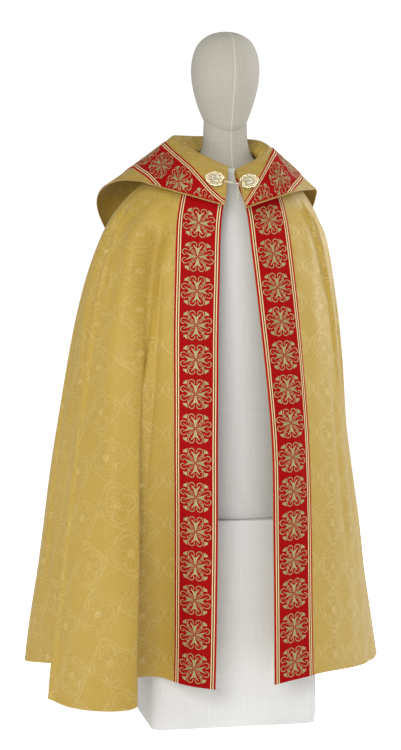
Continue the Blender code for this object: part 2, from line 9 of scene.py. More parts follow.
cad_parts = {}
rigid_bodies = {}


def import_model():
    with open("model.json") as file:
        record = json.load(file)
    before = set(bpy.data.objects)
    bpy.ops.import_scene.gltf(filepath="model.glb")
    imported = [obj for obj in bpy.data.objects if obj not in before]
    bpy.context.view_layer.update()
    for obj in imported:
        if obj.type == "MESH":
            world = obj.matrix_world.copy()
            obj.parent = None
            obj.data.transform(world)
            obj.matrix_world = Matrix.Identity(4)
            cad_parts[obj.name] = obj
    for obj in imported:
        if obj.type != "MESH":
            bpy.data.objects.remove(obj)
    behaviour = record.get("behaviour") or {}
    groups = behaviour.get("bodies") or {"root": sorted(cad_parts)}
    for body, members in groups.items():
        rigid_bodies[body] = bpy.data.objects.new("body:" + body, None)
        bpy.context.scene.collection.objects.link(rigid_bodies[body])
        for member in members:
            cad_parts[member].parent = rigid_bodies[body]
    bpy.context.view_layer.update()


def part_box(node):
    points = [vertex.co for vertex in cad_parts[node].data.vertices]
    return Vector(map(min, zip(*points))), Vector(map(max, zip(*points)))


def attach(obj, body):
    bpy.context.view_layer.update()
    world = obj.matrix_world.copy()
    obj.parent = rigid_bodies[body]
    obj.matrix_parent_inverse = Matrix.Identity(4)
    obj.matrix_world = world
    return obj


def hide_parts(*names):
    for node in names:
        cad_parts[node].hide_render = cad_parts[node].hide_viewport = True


# Cope on a display form. Metres, +Z up; the form faces -Y. Right and left are the wearer's own, so the
# right side lies at -X. Turns are in degrees from the centre front, round by the right side (90), the
# back (180) and the left side (270).
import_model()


# ------------------------------------------------------------------ the column
# The foot that the form stands on: a board box with round corners, covered with pale linen that is
# pulled tight and glued under the bottom edge.

def deselect():
    bpy.ops.object.select_all(action="DESELECT")


def take_up(piece):
    """Selects a piece and makes it the active one."""
    piece.select_set(True)
    bpy.context.view_layer.objects.active = piece


def named(name):
    """The piece that was just made, under its name."""
    bpy.context.object.name = name
    return bpy.context.object


def edit_all():
    """Opens the active piece in edit mode with all of it selected."""
    bpy.ops.object.mode_set(mode="EDIT")
    bpy.ops.mesh.select_all(action="SELECT")


def leave_edit():
    """Turns every face of the active piece outwards and leaves edit mode."""
    bpy.ops.mesh.select_all(action="SELECT")
    bpy.ops.mesh.normals_make_consistent(inside=False)
    bpy.ops.object.mode_set(mode="OBJECT")


def cap_foot():
    """Closes the open ring that a raised outline leaves at its foot."""
    bpy.ops.mesh.select_all(action="DESELECT")
    bpy.ops.mesh.select_non_manifold()
    bpy.ops.mesh.edge_face_add()


class Sums:
    """Short spellings for the nodes of one tree, each giving back its output."""

    def __init__(self, tree):
        self.tree = tree

    def node(self, kind, **settings):
        made = self.tree.nodes.new(kind)
        for name, value in settings.items():
            setattr(made, name, value)
        return made

    def feed(self, socket, value):
        if isinstance(value, bpy.types.NodeSocket):
            self.tree.links.new(value, socket)
        else:
            socket.default_value = value

    def math(self, operation, *values, clamp=False):
        made = self.node("ShaderNodeMath", operation=operation, use_clamp=clamp)
        for i, value in enumerate(values):
            self.feed(made.inputs[i], value)
        return made.outputs[0]

    def plus(self, a, b, clamp=False):
        return self.math("ADD", a, b, clamp=clamp)

    def minus(self, a, b, clamp=False):
        return self.math("SUBTRACT", a, b, clamp=clamp)

    def times(self, a, b):
        return self.math("MULTIPLY", a, b)

    def most(self, a, b, clamp=False):
        return self.math("MAXIMUM", a, b, clamp=clamp)

    def less(self, value):
        """What the value leaves of 1."""
        return self.minus(1.0, value)

    def near(self, value, centre, half, soft):
        """1 where the value lies within half of the centre, fading to 0 over soft."""
        away = self.math("ABSOLUTE", self.minus(value, centre))
        return self.less(self.step(away, half, half + soft))

    def step(self, value, low, high):
        made = self.node("ShaderNodeMapRange", interpolation_type="SMOOTHSTEP")
        for socket, what in zip(("Value", "From Min", "From Max"), (value, low, high)):
            self.feed(made.inputs[socket], what)
        return made.outputs["Result"]

    def mix(self, share, a, b, blend="MIX"):
        made = self.node("ShaderNodeMix", data_type="RGBA", blend_type=blend)
        self.feed(made.inputs["Factor"], share)
        self.feed(made.inputs[6], a)
        self.feed(made.inputs[7], b)
        return made.outputs[2]

    def noise(self, vector, scale, detail=2.0, roughness=0.5):
        made = self.node("ShaderNodeTexNoise")
        self.feed(made.inputs["Vector"], vector)
        made.inputs["Scale"].default_value = scale
        made.inputs["Detail"].default_value = detail
        made.inputs["Roughness"].default_value = roughness
        return made.outputs["Fac"]

    def bump(self, height, distance, strength, normal=None):
        made = self.node("ShaderNodeBump")
        made.inputs["Strength"].default_value = strength
        made.inputs["Distance"].default_value = distance
        self.feed(made.inputs["Height"], height)
        if normal is not None:
            self.feed(made.inputs["Normal"], normal)
        return made.outputs["Normal"]

    def group(self, group, **values):
        made = self.node("ShaderNodeGroup", node_tree=group)
        for name, value in values.items():
            self.feed(made.inputs[name], value)
        return made

    def split(self, vector):
        """The vector's X, Y and Z."""
        made = self.node("ShaderNodeSeparateXYZ")
        self.feed(made.inputs[0], vector)
        return made.outputs

    def objects(self):
        return self.node("ShaderNodeTexCoord").outputs["Object"]

    def flat(self):
        return self.node("ShaderNodeUVMap", uv_map="cut").outputs["UV"]


def new_material(name, roughness, metallic=0.0, **constants):
    """A material, its sums, and its shader's sockets with the constants set on them."""
    made = bpy.data.materials.new(name)
    made.use_nodes = True
    shader = made.node_tree.nodes["Principled BSDF"].inputs
    shader["Roughness"].default_value = roughness
    shader["Metallic"].default_value = metallic
    for socket, value in constants.items():
        shader[socket.replace("_", " ")].default_value = value
    return made, Sums(made.node_tree), shader


def new_group(name, inputs, outputs):
    """A shader node group with float inputs and outputs, apart from its Vector."""
    made = bpy.data.node_groups.new(name, "ShaderNodeTree")
    for socket in inputs:
        kind = "NodeSocketVector" if socket == "Vector" else "NodeSocketFloat"
        made.interface.new_socket(socket, in_out="INPUT", socket_type=kind)
    for socket in outputs:
        made.interface.new_socket(socket, in_out="OUTPUT", socket_type="NodeSocketFloat")
    return made, made.nodes.new("NodeGroupInput").outputs, made.nodes.new("NodeGroupOutput").inputs


def make_weave():
    """Plain weave: threads crossing over and under, with some thicker than others."""
    group, given, out = new_group("plain weave", ["Vector", "Threads"], ["Height", "Slub"])
    sums = Sums(group)
    scaled = sums.node("ShaderNodeVectorMath", operation="SCALE")
    sums.feed(scaled.inputs[0], given["Vector"])
    sums.feed(scaled.inputs["Scale"], given["Threads"])
    parts = sums.split(scaled.outputs[0])
    warp = sums.math("SINE", sums.times(parts["X"], math.pi))
    weft = sums.math("SINE", sums.times(parts["Y"], math.pi))
    over = sums.times(warp, weft)
    threads = sums.plus(sums.math("ABSOLUTE", warp), sums.math("ABSOLUTE", weft))
    sums.feed(out["Height"], sums.plus(sums.times(threads, 0.4), sums.times(over, 0.2)))
    slubs = []
    for squeeze in ((0.30, 0.012, 0.30), (0.012, 0.30, 0.012)):
        run = sums.node("ShaderNodeVectorMath", operation="MULTIPLY")
        sums.feed(run.inputs[0], scaled.outputs[0])
        run.inputs[1].default_value = squeeze
        slubs.append(sums.noise(run.outputs[0], 1.0))
    sums.feed(out["Slub"], sums.times(sums.plus(*slubs), 0.5))
    return group


weave = make_weave()


def linen(name, colour, shade, threads, radius=None):
    """Undyed linen: plain weave with slubs, flat, or wound round a form of about the radius given."""
    made, sums, shader = new_material(name, 0.9, Sheen_Weight=0.1, Sheen_Roughness=0.5,
                                      Specular_IOR_Level=0.2)
    place = sums.objects()
    parts = sums.split(place)
    run = sums.node("ShaderNodeCombineXYZ")
    if radius is None:
        sums.feed(run.inputs["X"], sums.plus(parts["X"], parts["Y"]))
    else:
        turn = sums.math("ARCTAN2", parts["X"], sums.times(parts["Y"], -1.0))
        sums.feed(run.inputs["X"], sums.times(turn, radius))
    sums.feed(run.inputs["Y"], parts["Z"])
    woven = sums.group(weave, Vector=run.outputs[0], Threads=threads)
    slub = sums.step(woven.outputs["Slub"], 0.38, 0.64)
    tone = sums.plus(sums.times(slub, 0.45), sums.times(sums.noise(place, 5.0), 0.55))
    base = sums.mix(tone, (*shade, 1.0), (*colour, 1.0))
    sums.feed(shader["Base Color"], base)
    height = sums.plus(woven.outputs["Height"], sums.times(slub, 0.5))
    sums.feed(shader["Normal"], sums.bump(height, 0.0002, 0.4))
    return made, sums, shader, base, place


column_low, column_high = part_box("form_column")
column_corner = 0.028
COLUMN_SIDES = 64
COLUMN_RIM = 0.004
COVER_SLACK = 0.0006         # how far the pulled cover lies in from the board
column_half = (column_high - column_low) / 2


def column_outline(count):
    """Points round a rectangle with round corners, close together on the corners."""
    points = []
    for i in range(count):
        angle = math.tau * i / count
        quarter = math.floor(i * 4 / count)
        sign_x = (1, -1, -1, 1)[quarter]
        sign_y = (1, 1, -1, -1)[quarter]
        points.append((sign_x * (column_half.x - column_corner) + column_corner * math.cos(angle),
                       sign_y * (column_half.y - column_corner) + column_corner * math.sin(angle), 0.0))
    return points


deselect()
bpy.ops.mesh.primitive_circle_add(vertices=COLUMN_SIDES, radius=1.0, location=(0, 0, 0))
column = named("column_cover")
for vertex, point in zip(column.data.vertices, column_outline(COLUMN_SIDES)):
    vertex.co = point
edit_all()
column_steps = 24
for step in range(column_steps):
    bpy.ops.mesh.extrude_region_move(TRANSFORM_OT_translate={"value": (0, 0, column_high.z / column_steps)})
bpy.ops.mesh.edge_face_add()
bpy.ops.mesh.inset(thickness=COLUMN_RIM)
cap_foot()
bpy.ops.mesh.inset(thickness=COLUMN_RIM)
leave_edit()
for vertex in column.data.vertices:
    x, z = vertex.co.x, vertex.co.z
    slack = COVER_SLACK * math.sin(9 * x + 11 * z) * math.sin(31 * z + 17 * x)
    rim = 0.0012 if z > column_high.z - 0.001 or z < 0.001 else 0.0
    vertex.co.x -= math.copysign(rim + abs(slack), vertex.co.x)
    vertex.co.y -= math.copysign(rim + abs(slack), vertex.co.y)
bpy.ops.object.shade_smooth_by_angle(angle=math.radians(35))
column_linen = linen("pale linen", (0.80, 0.81, 0.815), (0.72, 0.73, 0.735), 800.0)[0]
column.data.materials.append(column_linen)
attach(column, "root")
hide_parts("form_column")


# ------------------------------------------------------------------ the form
# Papier-mache torso, neck and egg head, each covered with linen. The head is a piece of its own,
# pressed down on the neck, with a covered seam up its face and down its back.
TORSO_SECTIONS = (  # height, half width, half depth
    (0.5203, 0.1820, 0.108), (0.5206, 0.1865, 0.1118), (0.526, 0.1880, 0.113), (0.800, 0.1880, 0.113),
    (1.000, 0.1940, 0.117), (1.130, 0.2050, 0.122), (1.215, 0.2120, 0.120), (1.275, 0.2130, 0.114),
    (1.320, 0.2020, 0.106), (1.355, 0.1700, 0.096),
    (1.385, 0.1250, 0.084), (1.410, 0.0860, 0.073), (1.435, 0.0640, 0.063), (1.465, 0.0565, 0.058),
    (1.495, 0.0553, 0.0565), (1.520, 0.0550, 0.0560), (1.545, 0.0500, 0.0500),
)
HEAD_SECTIONS = (  # height, half width, half depth, how far it is carried forward
    (1.480, 0.0150, 0.018, 0.020), (1.487, 0.0300, 0.034, 0.018), (1.498, 0.0420, 0.050, 0.014),
    (1.515, 0.0525, 0.061, 0.007), (1.534, 0.0606, 0.071, 0.003), (1.558, 0.0697, 0.083, 0.0),
    (1.590, 0.0791, 0.096, 0.0), (1.622, 0.0851, 0.103, 0.0), (1.650, 0.0869, 0.105, 0.0),
    (1.680, 0.0842, 0.101, 0.0), (1.711, 0.0731, 0.087, 0.0), (1.729, 0.0560, 0.067, 0.0),
    (1.7405, 0.0330, 0.039, 0.0), (1.7440, 0.0130, 0.015, 0.0),
)
NECK_ROOT = 1.40            # the neck's cover is sewn to the torso's paler one here
HEAD_RADIUS = 0.085         # the weave is wound round the form at about this radius


def stack_rings(name, sections, sides, material):
    """A closed skin raised from a ring, section by section, then smoothed."""
    deselect()
    height, wide, deep, forward = sections[0]
    bpy.ops.mesh.primitive_circle_add(vertices=sides, radius=1.0, location=(0, -forward, height))
    made = named(name)
    edit_all()
    bpy.ops.transform.resize(value=(wide, deep, 1))
    for low, high in zip(sections, sections[1:]):
        bpy.ops.mesh.extrude_region_move(
            TRANSFORM_OT_translate={"value": (0, low[3] - high[3], high[0] - low[0])})
        bpy.ops.transform.resize(value=(high[1] / low[1], high[2] / low[2], 1),
                                 center_override=(0, -high[3], high[0]))
    bpy.ops.mesh.edge_face_add()
    cap_foot()
    leave_edit()
    bpy.ops.object.transform_apply(location=True, rotation=True, scale=True)
    smooth = made.modifiers.new("smooth skin", "SUBSURF")
    smooth.levels = smooth.render_levels = 2
    bpy.ops.object.modifier_apply(modifier=smooth.name)
    bpy.ops.object.shade_smooth()
    made.data.materials.append(material)
    return made


FORM_SIDES = 48
form_linen, sums, shader, base, place = linen("form linen", (0.465, 0.443, 0.388), (0.385, 0.365, 0.31),
                                              1000.0, HEAD_RADIUS)
across = sums.split(place)
seam = sums.near(across["X"], 0.003, 0.0007, 0.0011)
sums.feed(shader["Base Color"],
          sums.mix(sums.times(seam, 0.5), base, (0.70, 0.67, 0.59, 1.0)))
torso = stack_rings("form_torso", [row + (0.0,) for row in TORSO_SECTIONS], FORM_SIDES, form_linen)
torso.data.materials.append(column_linen)
for face in torso.data.polygons:
    face.material_index = 1 if face.center.z < NECK_ROOT else 0
head = stack_rings("form_head", HEAD_SECTIONS, FORM_SIDES, form_linen)
for piece in (torso, head):
    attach(piece, "root")
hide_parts("form_bust")
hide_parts("form_bust")


# ------------------------------------------------------------------ the fronts and the back
# Gold silk damask with its interlining, cut as part of a circle round the neck and gathered into the
# neck seam. Two fronts and the back are sewn at the sides and hang in soft pipes to a turned hem.
# Rings of the hanging cloth from the neck seam down to the hem: heights at the front, the side and
# the back, half widths on the wearer's right and left, the front and back in Y, and how far each
# front edge stands from the centre line.
BODY_COLUMNS = ("z_front", "z_side", "z_back", "wide_right", "wide_left", "front_y", "back_y",
                "gap_right", "gap_left")
BODY_ROWS = {
    "neck":     (1.385, 1.430, 1.455, 0.080, 0.080, -0.105, 0.080, 0.016, 0.000),
    "collar":   (1.355, 1.412, 1.430, 0.120, 0.118, -0.130, 0.115, 0.022, 0.004),
    "slope":    (1.320, 1.385, 1.395, 0.170, 0.165, -0.148, 0.150, 0.031, 0.014),
    "shoulder": (1.280, 1.345, 1.350, 0.226, 0.207, -0.160, 0.185, 0.040, 0.022),
    "arm":      (1.220, 1.270, 1.275, 0.290, 0.251, -0.170, 0.225, 0.046, 0.028),
    "chest":    (1.130, 1.150, 1.155, 0.342, 0.281, -0.180, 0.265, 0.050, 0.038),
    "waist":    (1.010, 1.010, 1.010, 0.377, 0.303, -0.192, 0.305, 0.055, 0.050),
    "hip":      (0.860, 0.860, 0.860, 0.401, 0.320, -0.203, 0.350, 0.058, 0.064),
    "thigh":    (0.700, 0.700, 0.700, 0.423, 0.342, -0.213, 0.390, 0.061, 0.075),
    "knee":     (0.530, 0.530, 0.530, 0.443, 0.368, -0.222, 0.425, 0.063, 0.076),
    "calf":     (0.350, 0.350, 0.350, 0.465, 0.391, -0.230, 0.455, 0.067, 0.075),
    "low":      (0.220, 0.220, 0.220, 0.481, 0.410, -0.236, 0.478, 0.070, 0.075),
    "hem":      (0.125, 0.125, 0.125, 0.489, 0.426, -0.240, 0.495, 0.073, 0.075),
}

# Hem: where each fold's crest or trough comes to, and the height at which it leaves the smooth ring.
HEM_COLUMNS = ("turn", "x", "y", "z", "starts_at")
HEM_FOLDS = {
    "right_edge":     (9.1, -0.073, -0.240, 0.123, 1.30),
    "right_band":     (21.0, -0.164, -0.182, 0.133, 1.28),
    "front_trough":   (26.5, -0.216, -0.150, 0.142, 1.30),
    "pipe_tuck":      (32.0, -0.286, -0.178, 0.132, 1.30),
    "pipe_inner":     (38.0, -0.270, -0.268, 0.106, 1.28),
    "pipe_front":     (47.0, -0.360, -0.292, 0.095, 1.25),
    "pipe_outer":     (61.0, -0.468, -0.120, 0.100, 1.28),
    "side_trough":    (73.0, -0.424, 0.015, 0.131, 1.30),
    "side_flat":      (85.0, -0.436, 0.095, 0.131, 1.30),
    "side_crest":     (104.0, -0.488, 0.240, 0.115, 1.25),
    "right_trough_1": (121.0, -0.384, 0.335, 0.128, 1.15),
    "right_crest_1":  (136.0, -0.368, 0.478, 0.116, 1.05),
    "right_trough_2": (151.0, -0.242, 0.428, 0.128, 1.00),
    "right_crest_2":  (166.0, -0.138, 0.556, 0.112, 1.02),
    "back_trough":    (181.0, -0.012, 0.452, 0.126, 0.98),
    "left_crest_2":   (194.0, 0.098, 0.550, 0.114, 1.02),
    "left_trough_2":  (208.0, 0.204, 0.436, 0.127, 1.02),
    "left_crest_1":   (224.0, 0.330, 0.478, 0.117, 1.06),
    "left_trough_1":  (239.0, 0.340, 0.320, 0.126, 1.15),
    "left_crest_0":   (254.0, 0.428, 0.226, 0.116, 1.22),
    "left_side":      (275.0, 0.440, 0.110, 0.114, 1.25),
    "left_turn":      (292.0, 0.399, 0.025, 0.118, 1.25),
    "left_flat":      (309.0, 0.337, -0.072, 0.127, 1.25),
    "left_trough_0":  (324.0, 0.262, -0.152, 0.138, 1.20),
    "left_band":      (337.0, 0.183, -0.211, 0.142, 1.28),
    "left_edge":      (350.5, 0.075, -0.241, 0.128, 1.30),
}


def smooth_curve(knots, values):
    """A natural cubic curve through the values; it returns a function of arrays of places."""
    knots = np.asarray(knots, float)
    values = np.asarray(values, float)
    count = len(knots)
    step = np.diff(knots)
    system = np.eye(count)
    pull = np.zeros(count)
    for i in range(1, count - 1):
        system[i, i - 1:i + 2] = step[i - 1], 2 * (step[i - 1] + step[i]), step[i]
        pull[i] = 6 * ((values[i + 1] - values[i]) / step[i] - (values[i] - values[i - 1]) / step[i - 1])
    bend = np.linalg.solve(system, pull)

    def at(where):
        i = np.clip(np.searchsorted(knots, where) - 1, 0, count - 2)
        a = (knots[i + 1] - where) / step[i]
        b = 1 - a
        cubic = ((a ** 3 - a) * bend[i] + (b ** 3 - b) * bend[i + 1]) * step[i] ** 2 / 6
        return a * values[i] + b * values[i + 1] + cubic

    return at


def columns_of(rows, names, knots):
    return {name: smooth_curve(knots, [row[i] for row in rows]) for i, name in enumerate(names)}


side_line = np.array([(row[3], row[1]) for row in BODY_ROWS.values()])
BODY_DOWN = np.concatenate([[0.0], np.cumsum(np.linalg.norm(np.diff(side_line, axis=0), axis=1))])
HEM_DOWN = BODY_DOWN[-1]
PIPE_GROWTH = 1.35          # over 1, the pipes open mostly near the hem
body = columns_of(list(BODY_ROWS.values()), BODY_COLUMNS, BODY_DOWN)
hem = columns_of([row[1:] for row in HEM_FOLDS.values()], HEM_COLUMNS[1:],
                 [row[0] for row in HEM_FOLDS.values()])


def smooth_ring(down, turn):
    """Points of the cloth without its folds, down metres below the neck seam."""
    sine, cosine = np.sin(np.radians(turn)), np.cos(np.radians(turn))
    ring = {name: curve(down) for name, curve in body.items()}
    wide = (ring["wide_right"] + ring["wide_left"]) / 2 + (ring["wide_right"] - ring["wide_left"]) / 2 * sine
    middle = (ring["front_y"] + ring["back_y"]) / 2
    half = (ring["back_y"] - ring["front_y"]) / 2
    ends = (ring["z_front"] + ring["z_back"]) / 2
    height = (ring["z_side"] + (ring["z_front"] - ring["z_back"]) / 2 * cosine
              + (ends - ring["z_side"]) * cosine ** 2)
    return np.stack(np.broadcast_arrays(-wide * sine, middle - half * cosine, height), axis=-1)


def hanging_point(down, turn):
    """Points of the cloth with its pipes, which grow from nothing to their full size at the hem."""
    point = smooth_ring(down, turn)
    base = smooth_ring(np.full_like(turn, HEM_DOWN), turn)
    starts = hem["starts_at"](turn)
    grown = np.clip((starts - point[..., 2]) / (starts - base[..., 2]), 0.0, 1.0)
    target = np.stack([hem["x"](turn), hem["y"](turn), hem["z"](turn)], axis=-1)
    return point + (target - base) * grown[..., None] ** PIPE_GROWTH


def unit(vectors):
    return vectors / np.maximum(np.linalg.norm(vectors, axis=-1, keepdims=True), 1e-12)


def grid_normals(points):
    """Normals of a grid whose columns go round by growing turn and whose rows go down."""
    return unit(np.cross(np.gradient(points, axis=1), np.gradient(points, axis=0)))


def run_lengths(points, axis):
    """Lengths along a grid's rows or columns, from 0 at the start."""
    steps = np.linalg.norm(np.diff(points, axis=axis), axis=-1)
    pad = np.zeros_like(np.take(steps, [0], axis=axis))
    return np.cumsum(np.concatenate([pad, steps], axis=axis), axis=axis)


def edge_turn(down, side):
    wide = (body["wide_right"](down) + body["wide_left"](down)) / 2
    lean = np.degrees(np.arcsin(np.maximum(body["gap_" + side](down), 0.0) / wide))
    return lean if side == "right" else 360.0 - lean


def band_turns(down, side, across):
    """Turns that lie across metres from a front edge, for each row down the cloth."""
    way = 1.0 if side == "right" else -1.0
    start = edge_turn(down, side)
    turns = start[:, None] + way * np.linspace(0.0, 60.0, 150)[None, :]
    reached = run_lengths(hanging_point(np.repeat(down[:, None], turns.shape[1], axis=1), turns), 1)
    return np.array([np.interp(across, reach, line) for reach, line in zip(reached, turns)])


# Slack folds and creases: turn and depth down the cloth at each end, how fast the line runs over at its
# top (1 is straight, less is faster), half width, and height. A negative height is a trough.
CREASES = {  # turn_top, down_top, turn_low, down_low, run, half_width, height
    "right_band_trough":     (51.0, 0.200, 32.5, 1.700, 0.30, 0.023, -0.0260),
    "right_band_ridge":      (40.0, 0.340, 29.5, 1.300, 0.30, 0.007, 0.0060),
    "right_pipe_crest":      (66.0, 0.200, 46.0, 1.300, 0.25, 0.026, 0.0150),
    "right_pipe_edge":       (79.0, 0.200, 58.0, 1.700, 0.35, 0.009, 0.0100),
    "right_edge_trough":     (84.0, 0.200, 64.5, 1.700, 0.35, 0.020, -0.0300),
    "right_shoulder_tuck":   (77.0, 0.240, 65.0, 0.620, 0.60, 0.005, 0.0050),
    "right_shoulder_trough": (74.0, 0.250, 61.5, 0.560, 0.60, 0.007, -0.0050),
    "right_side_crease":     (97.0, 0.300, 90.0, 1.300, 1.00, 0.014, -0.0070),
    "left_long_ridge":       (309.0, 0.150, 297.0, 0.800, 1.00, 0.005, 0.0090),
    "left_long_trough":      (304.0, 0.150, 291.5, 0.860, 1.00, 0.010, -0.0110),
    "left_short_ridge":      (299.5, 0.160, 305.5, 0.520, 1.00, 0.005, 0.0070),
    "left_short_trough":     (295.5, 0.160, 301.0, 0.500, 1.00, 0.007, -0.0070),
    "left_side_ridge":       (287.0, 0.220, 281.0, 0.900, 1.00, 0.009, 0.0060),
    "left_low_crease":       (306.0, 0.650, 309.0, 1.300, 1.00, 0.020, -0.0060),
    "back_tuck_right":       (128.0, 0.300, 133.0, 0.760, 1.00, 0.007, 0.0055),
    "back_hollow_right":     (145.0, 0.360, 151.0, 1.150, 1.00, 0.018, -0.0100),
    "back_ridge":            (170.0, 0.380, 166.0, 1.100, 1.00, 0.012, 0.0060),
    "back_hollow":           (184.0, 0.360, 181.0, 1.200, 1.00, 0.018, -0.0110),
    "back_hollow_left":      (214.0, 0.350, 209.0, 1.100, 1.00, 0.017, -0.0100),
    "back_tuck_left":        (236.0, 0.280, 231.0, 0.700, 1.00, 0.007, 0.0055),
    "left_side_crease":      (262.0, 0.300, 258.0, 1.200, 1.00, 0.014, -0.0070),
}
FADE_IN = 0.10              # lengths over which a crease comes up and dies away
FADE_OUT = 0.28
HEM_EDGE = 0.004            # heights over the hem's edge of its rolled rim and of its line of stitches
HEM_STITCHES = 0.016


def creased(points, down, turn):
    """The grid moved along its normals by the creases, by slow waves, and by the stitching of the hem."""
    normals = grid_normals(points)
    per_degree = (run_lengths(points, 1)[:, -1] / np.abs(turn[:, -1] - turn[:, 0]))[:, None]
    lift = np.zeros_like(down)
    for turn_top, down_top, turn_low, down_low, run, half_width, height in CREASES.values():
        share = (down - down_top) / (down_low - down_top)
        over = np.clip(share, 0, None) ** run
        line = turn_top + (turn_low - turn_top) * over + 0.5 * np.sin(9 * share + turn_top)
        fade = np.clip((down - down_top) / FADE_IN, 0, 1) * np.clip((down_low - down) / FADE_OUT, 0, 1)
        away = (turn - line) * per_degree / half_width
        lift += height * fade * fade * (3 - 2 * fade) * np.exp(-away ** 2)
    hang = np.clip(down / 0.3, 0, 1)
    lift += 0.0012 * hang * np.sin(0.21 * turn + 6.1 * down) * np.sin(7.3 * down + 0.13 * turn)
    lift += 0.0007 * hang * np.sin(0.47 * turn - 11.0 * down + 1.7)
    up = HEM_DOWN - down
    lift += (0.0008 * np.exp(-((up - HEM_EDGE) / 0.003) ** 2)
             - 0.0008 * np.exp(-((up - HEM_STITCHES) / 0.0025) ** 2))
    return points + normals * lift[..., None]


NECK_RADIUS = 0.16          # flat cut: the cloth's rows are arcs this far and more from the cut's centre
FOLDED_AWAY = 0.020         # cloth tucked out of sight in the trough beside the right band, at the hem


def flat_cut(points, down, turn, side):
    """Where each point lay on the flat cloth, with the straight grain down the front edge."""
    reach = run_lengths(points, 1)
    if side == "left":
        reach = reach[:, -1:] - reach
    if side == "right":
        tucked = np.clip((turn - 33.0) / 7.0, 0, 1) * np.clip((down - 0.55) / 0.5, 0, 1)
        reach = reach + FOLDED_AWAY * tucked
    if side == "back":
        reach = reach - reach[:, [reach.shape[1] // 2]]
    radius = NECK_RADIUS + down
    angle = reach / radius
    return np.stack([radius * np.sin(angle), radius * np.cos(angle)], axis=-1)


def mark_cut(mesh, flat):
    """Gives each vertex's place on the flat cloth to the mesh as its only UV map."""
    while mesh.uv_layers:
        mesh.uv_layers.remove(mesh.uv_layers[0])
    corner = np.empty(len(mesh.loops), dtype=np.int32)
    mesh.loops.foreach_get("vertex_index", corner)
    mesh.uv_layers.new(name="cut").data.foreach_set("uv", flat[corner].ravel())


def lay_sheet(name, points, cut, material):
    """A sheet of cloth: a flat grid carried to its hanging points, with its flat cut as its UV map."""
    rows, columns = points.shape[:2]
    deselect()
    bpy.ops.mesh.primitive_grid_add(x_subdivisions=columns - 1, y_subdivisions=rows - 1, size=2)
    made = named(name)
    mesh = made.data
    flat = np.empty(len(mesh.vertices) * 3)
    mesh.vertices.foreach_get("co", flat)
    flat = flat.reshape(-1, 3)
    column = np.rint((flat[:, 0] + 1) / 2 * (columns - 1)).astype(int)
    row = np.rint((flat[:, 1] + 1) / 2 * (rows - 1)).astype(int)
    mesh.vertices.foreach_set("co", points[row, column].ravel())
    mark_cut(mesh, cut[row, column])
    mesh.update()
    mesh.materials.append(material)
    return made


def thicken(piece, thickness):
    """The cloth's thickness, laid on the side away from the eye."""
    wall = piece.modifiers.new("thickness", "SOLIDIFY")
    wall.thickness = thickness
    wall.offset = -1.0
    bpy.ops.object.modifier_apply(modifier=wall.name)
    bpy.ops.object.shade_smooth_by_angle(angle=math.radians(60))


FIGURE_PITCH = 0.114
FIGURE_SHIFT = {"X": 0.195, "Y": 0.058}     # from the cut's own zero to the lattice's first crossing
LOBE_CENTRE = 0.0235
FIGURE_EDGE = 0.0284


def make_damask_figure():
    """Woven figure: quatrefoils in double outlines on a square lattice, with blossoms between them."""
    group, given, out = new_group("quatrefoil damask", ["Vector"], ["Figure", "Line", "Blossom", "Height"])
    sums = Sums(group)
    parts = sums.split(given["Vector"])
    sides = []
    for axis, shift in FIGURE_SHIFT.items():
        cell = sums.math("DIVIDE", sums.minus(parts[axis], shift), FIGURE_PITCH)
        centred = sums.minus(sums.math("FRACT", sums.plus(cell, 1000.5)), 0.5)
        sides.append(sums.times(sums.math("ABSOLUTE", centred), FIGURE_PITCH))
    far = sums.most(*sides)
    close = sums.math("MINIMUM", *sides)

    def to_lobe(centre, power):
        """Distance from the nearest lobe's centre; a power below 2 draws the lobe out to a point."""
        away = sums.math("ABSOLUTE", sums.minus(far, centre))
        total = sums.plus(sums.math("POWER", away, power), sums.math("POWER", close, power))
        return sums.math("POWER", total, 1.0 / power)

    outer = to_lobe(LOBE_CENTRE, 1.45)
    lobe = to_lobe(LOBE_CENTRE, 2.0)
    foil = sums.plus(sums.near(outer, 0.0328, 0.0006, 0.0006), sums.near(outer, FIGURE_EDGE, 0.0004, 0.0005))
    rings = sums.plus(sums.near(lobe, 0.0205, 0.0006, 0.0006), sums.near(lobe, 0.0172, 0.0003, 0.0005))
    outside = sums.step(outer, 0.0342, 0.0350)
    inside = sums.less(sums.step(lobe, 0.0160, 0.0170))
    cells = sums.node("ShaderNodeTexVoronoi", voronoi_dimensions="2D")
    sums.feed(cells.inputs["Vector"], given["Vector"])
    cells.inputs["Scale"].default_value = 175.0
    cells.inputs["Randomness"].default_value = 0.55
    blossom = sums.less(sums.step(cells.outputs["Distance"], 0.22, 0.34))
    eye = sums.less(sums.step(cells.outputs["Distance"], 0.05, 0.12))
    petals = sums.minus(blossom, eye, clamp=True)
    leaf = sums.step(sums.noise(given["Vector"], 230.0, 1.5), 0.50, 0.56)
    heart = sums.near(sums.plus(far, close), 0.0075, 0.0010, 0.0008)
    line = sums.most(sums.most(foil, rings), heart, clamp=True)
    scatter = sums.times(petals, outside)
    leaves = sums.times(leaf, inside)
    figure = sums.less(sums.step(outer, FIGURE_EDGE, FIGURE_EDGE + 0.0012))
    blossoms = sums.most(scatter, leaves)
    sums.feed(out["Line"], line)
    sums.feed(out["Blossom"], blossoms)
    sums.feed(out["Figure"], figure)
    sums.feed(out["Height"], sums.plus(line, sums.times(blossoms, 0.6)))
    return group


damask_figure = make_damask_figure()


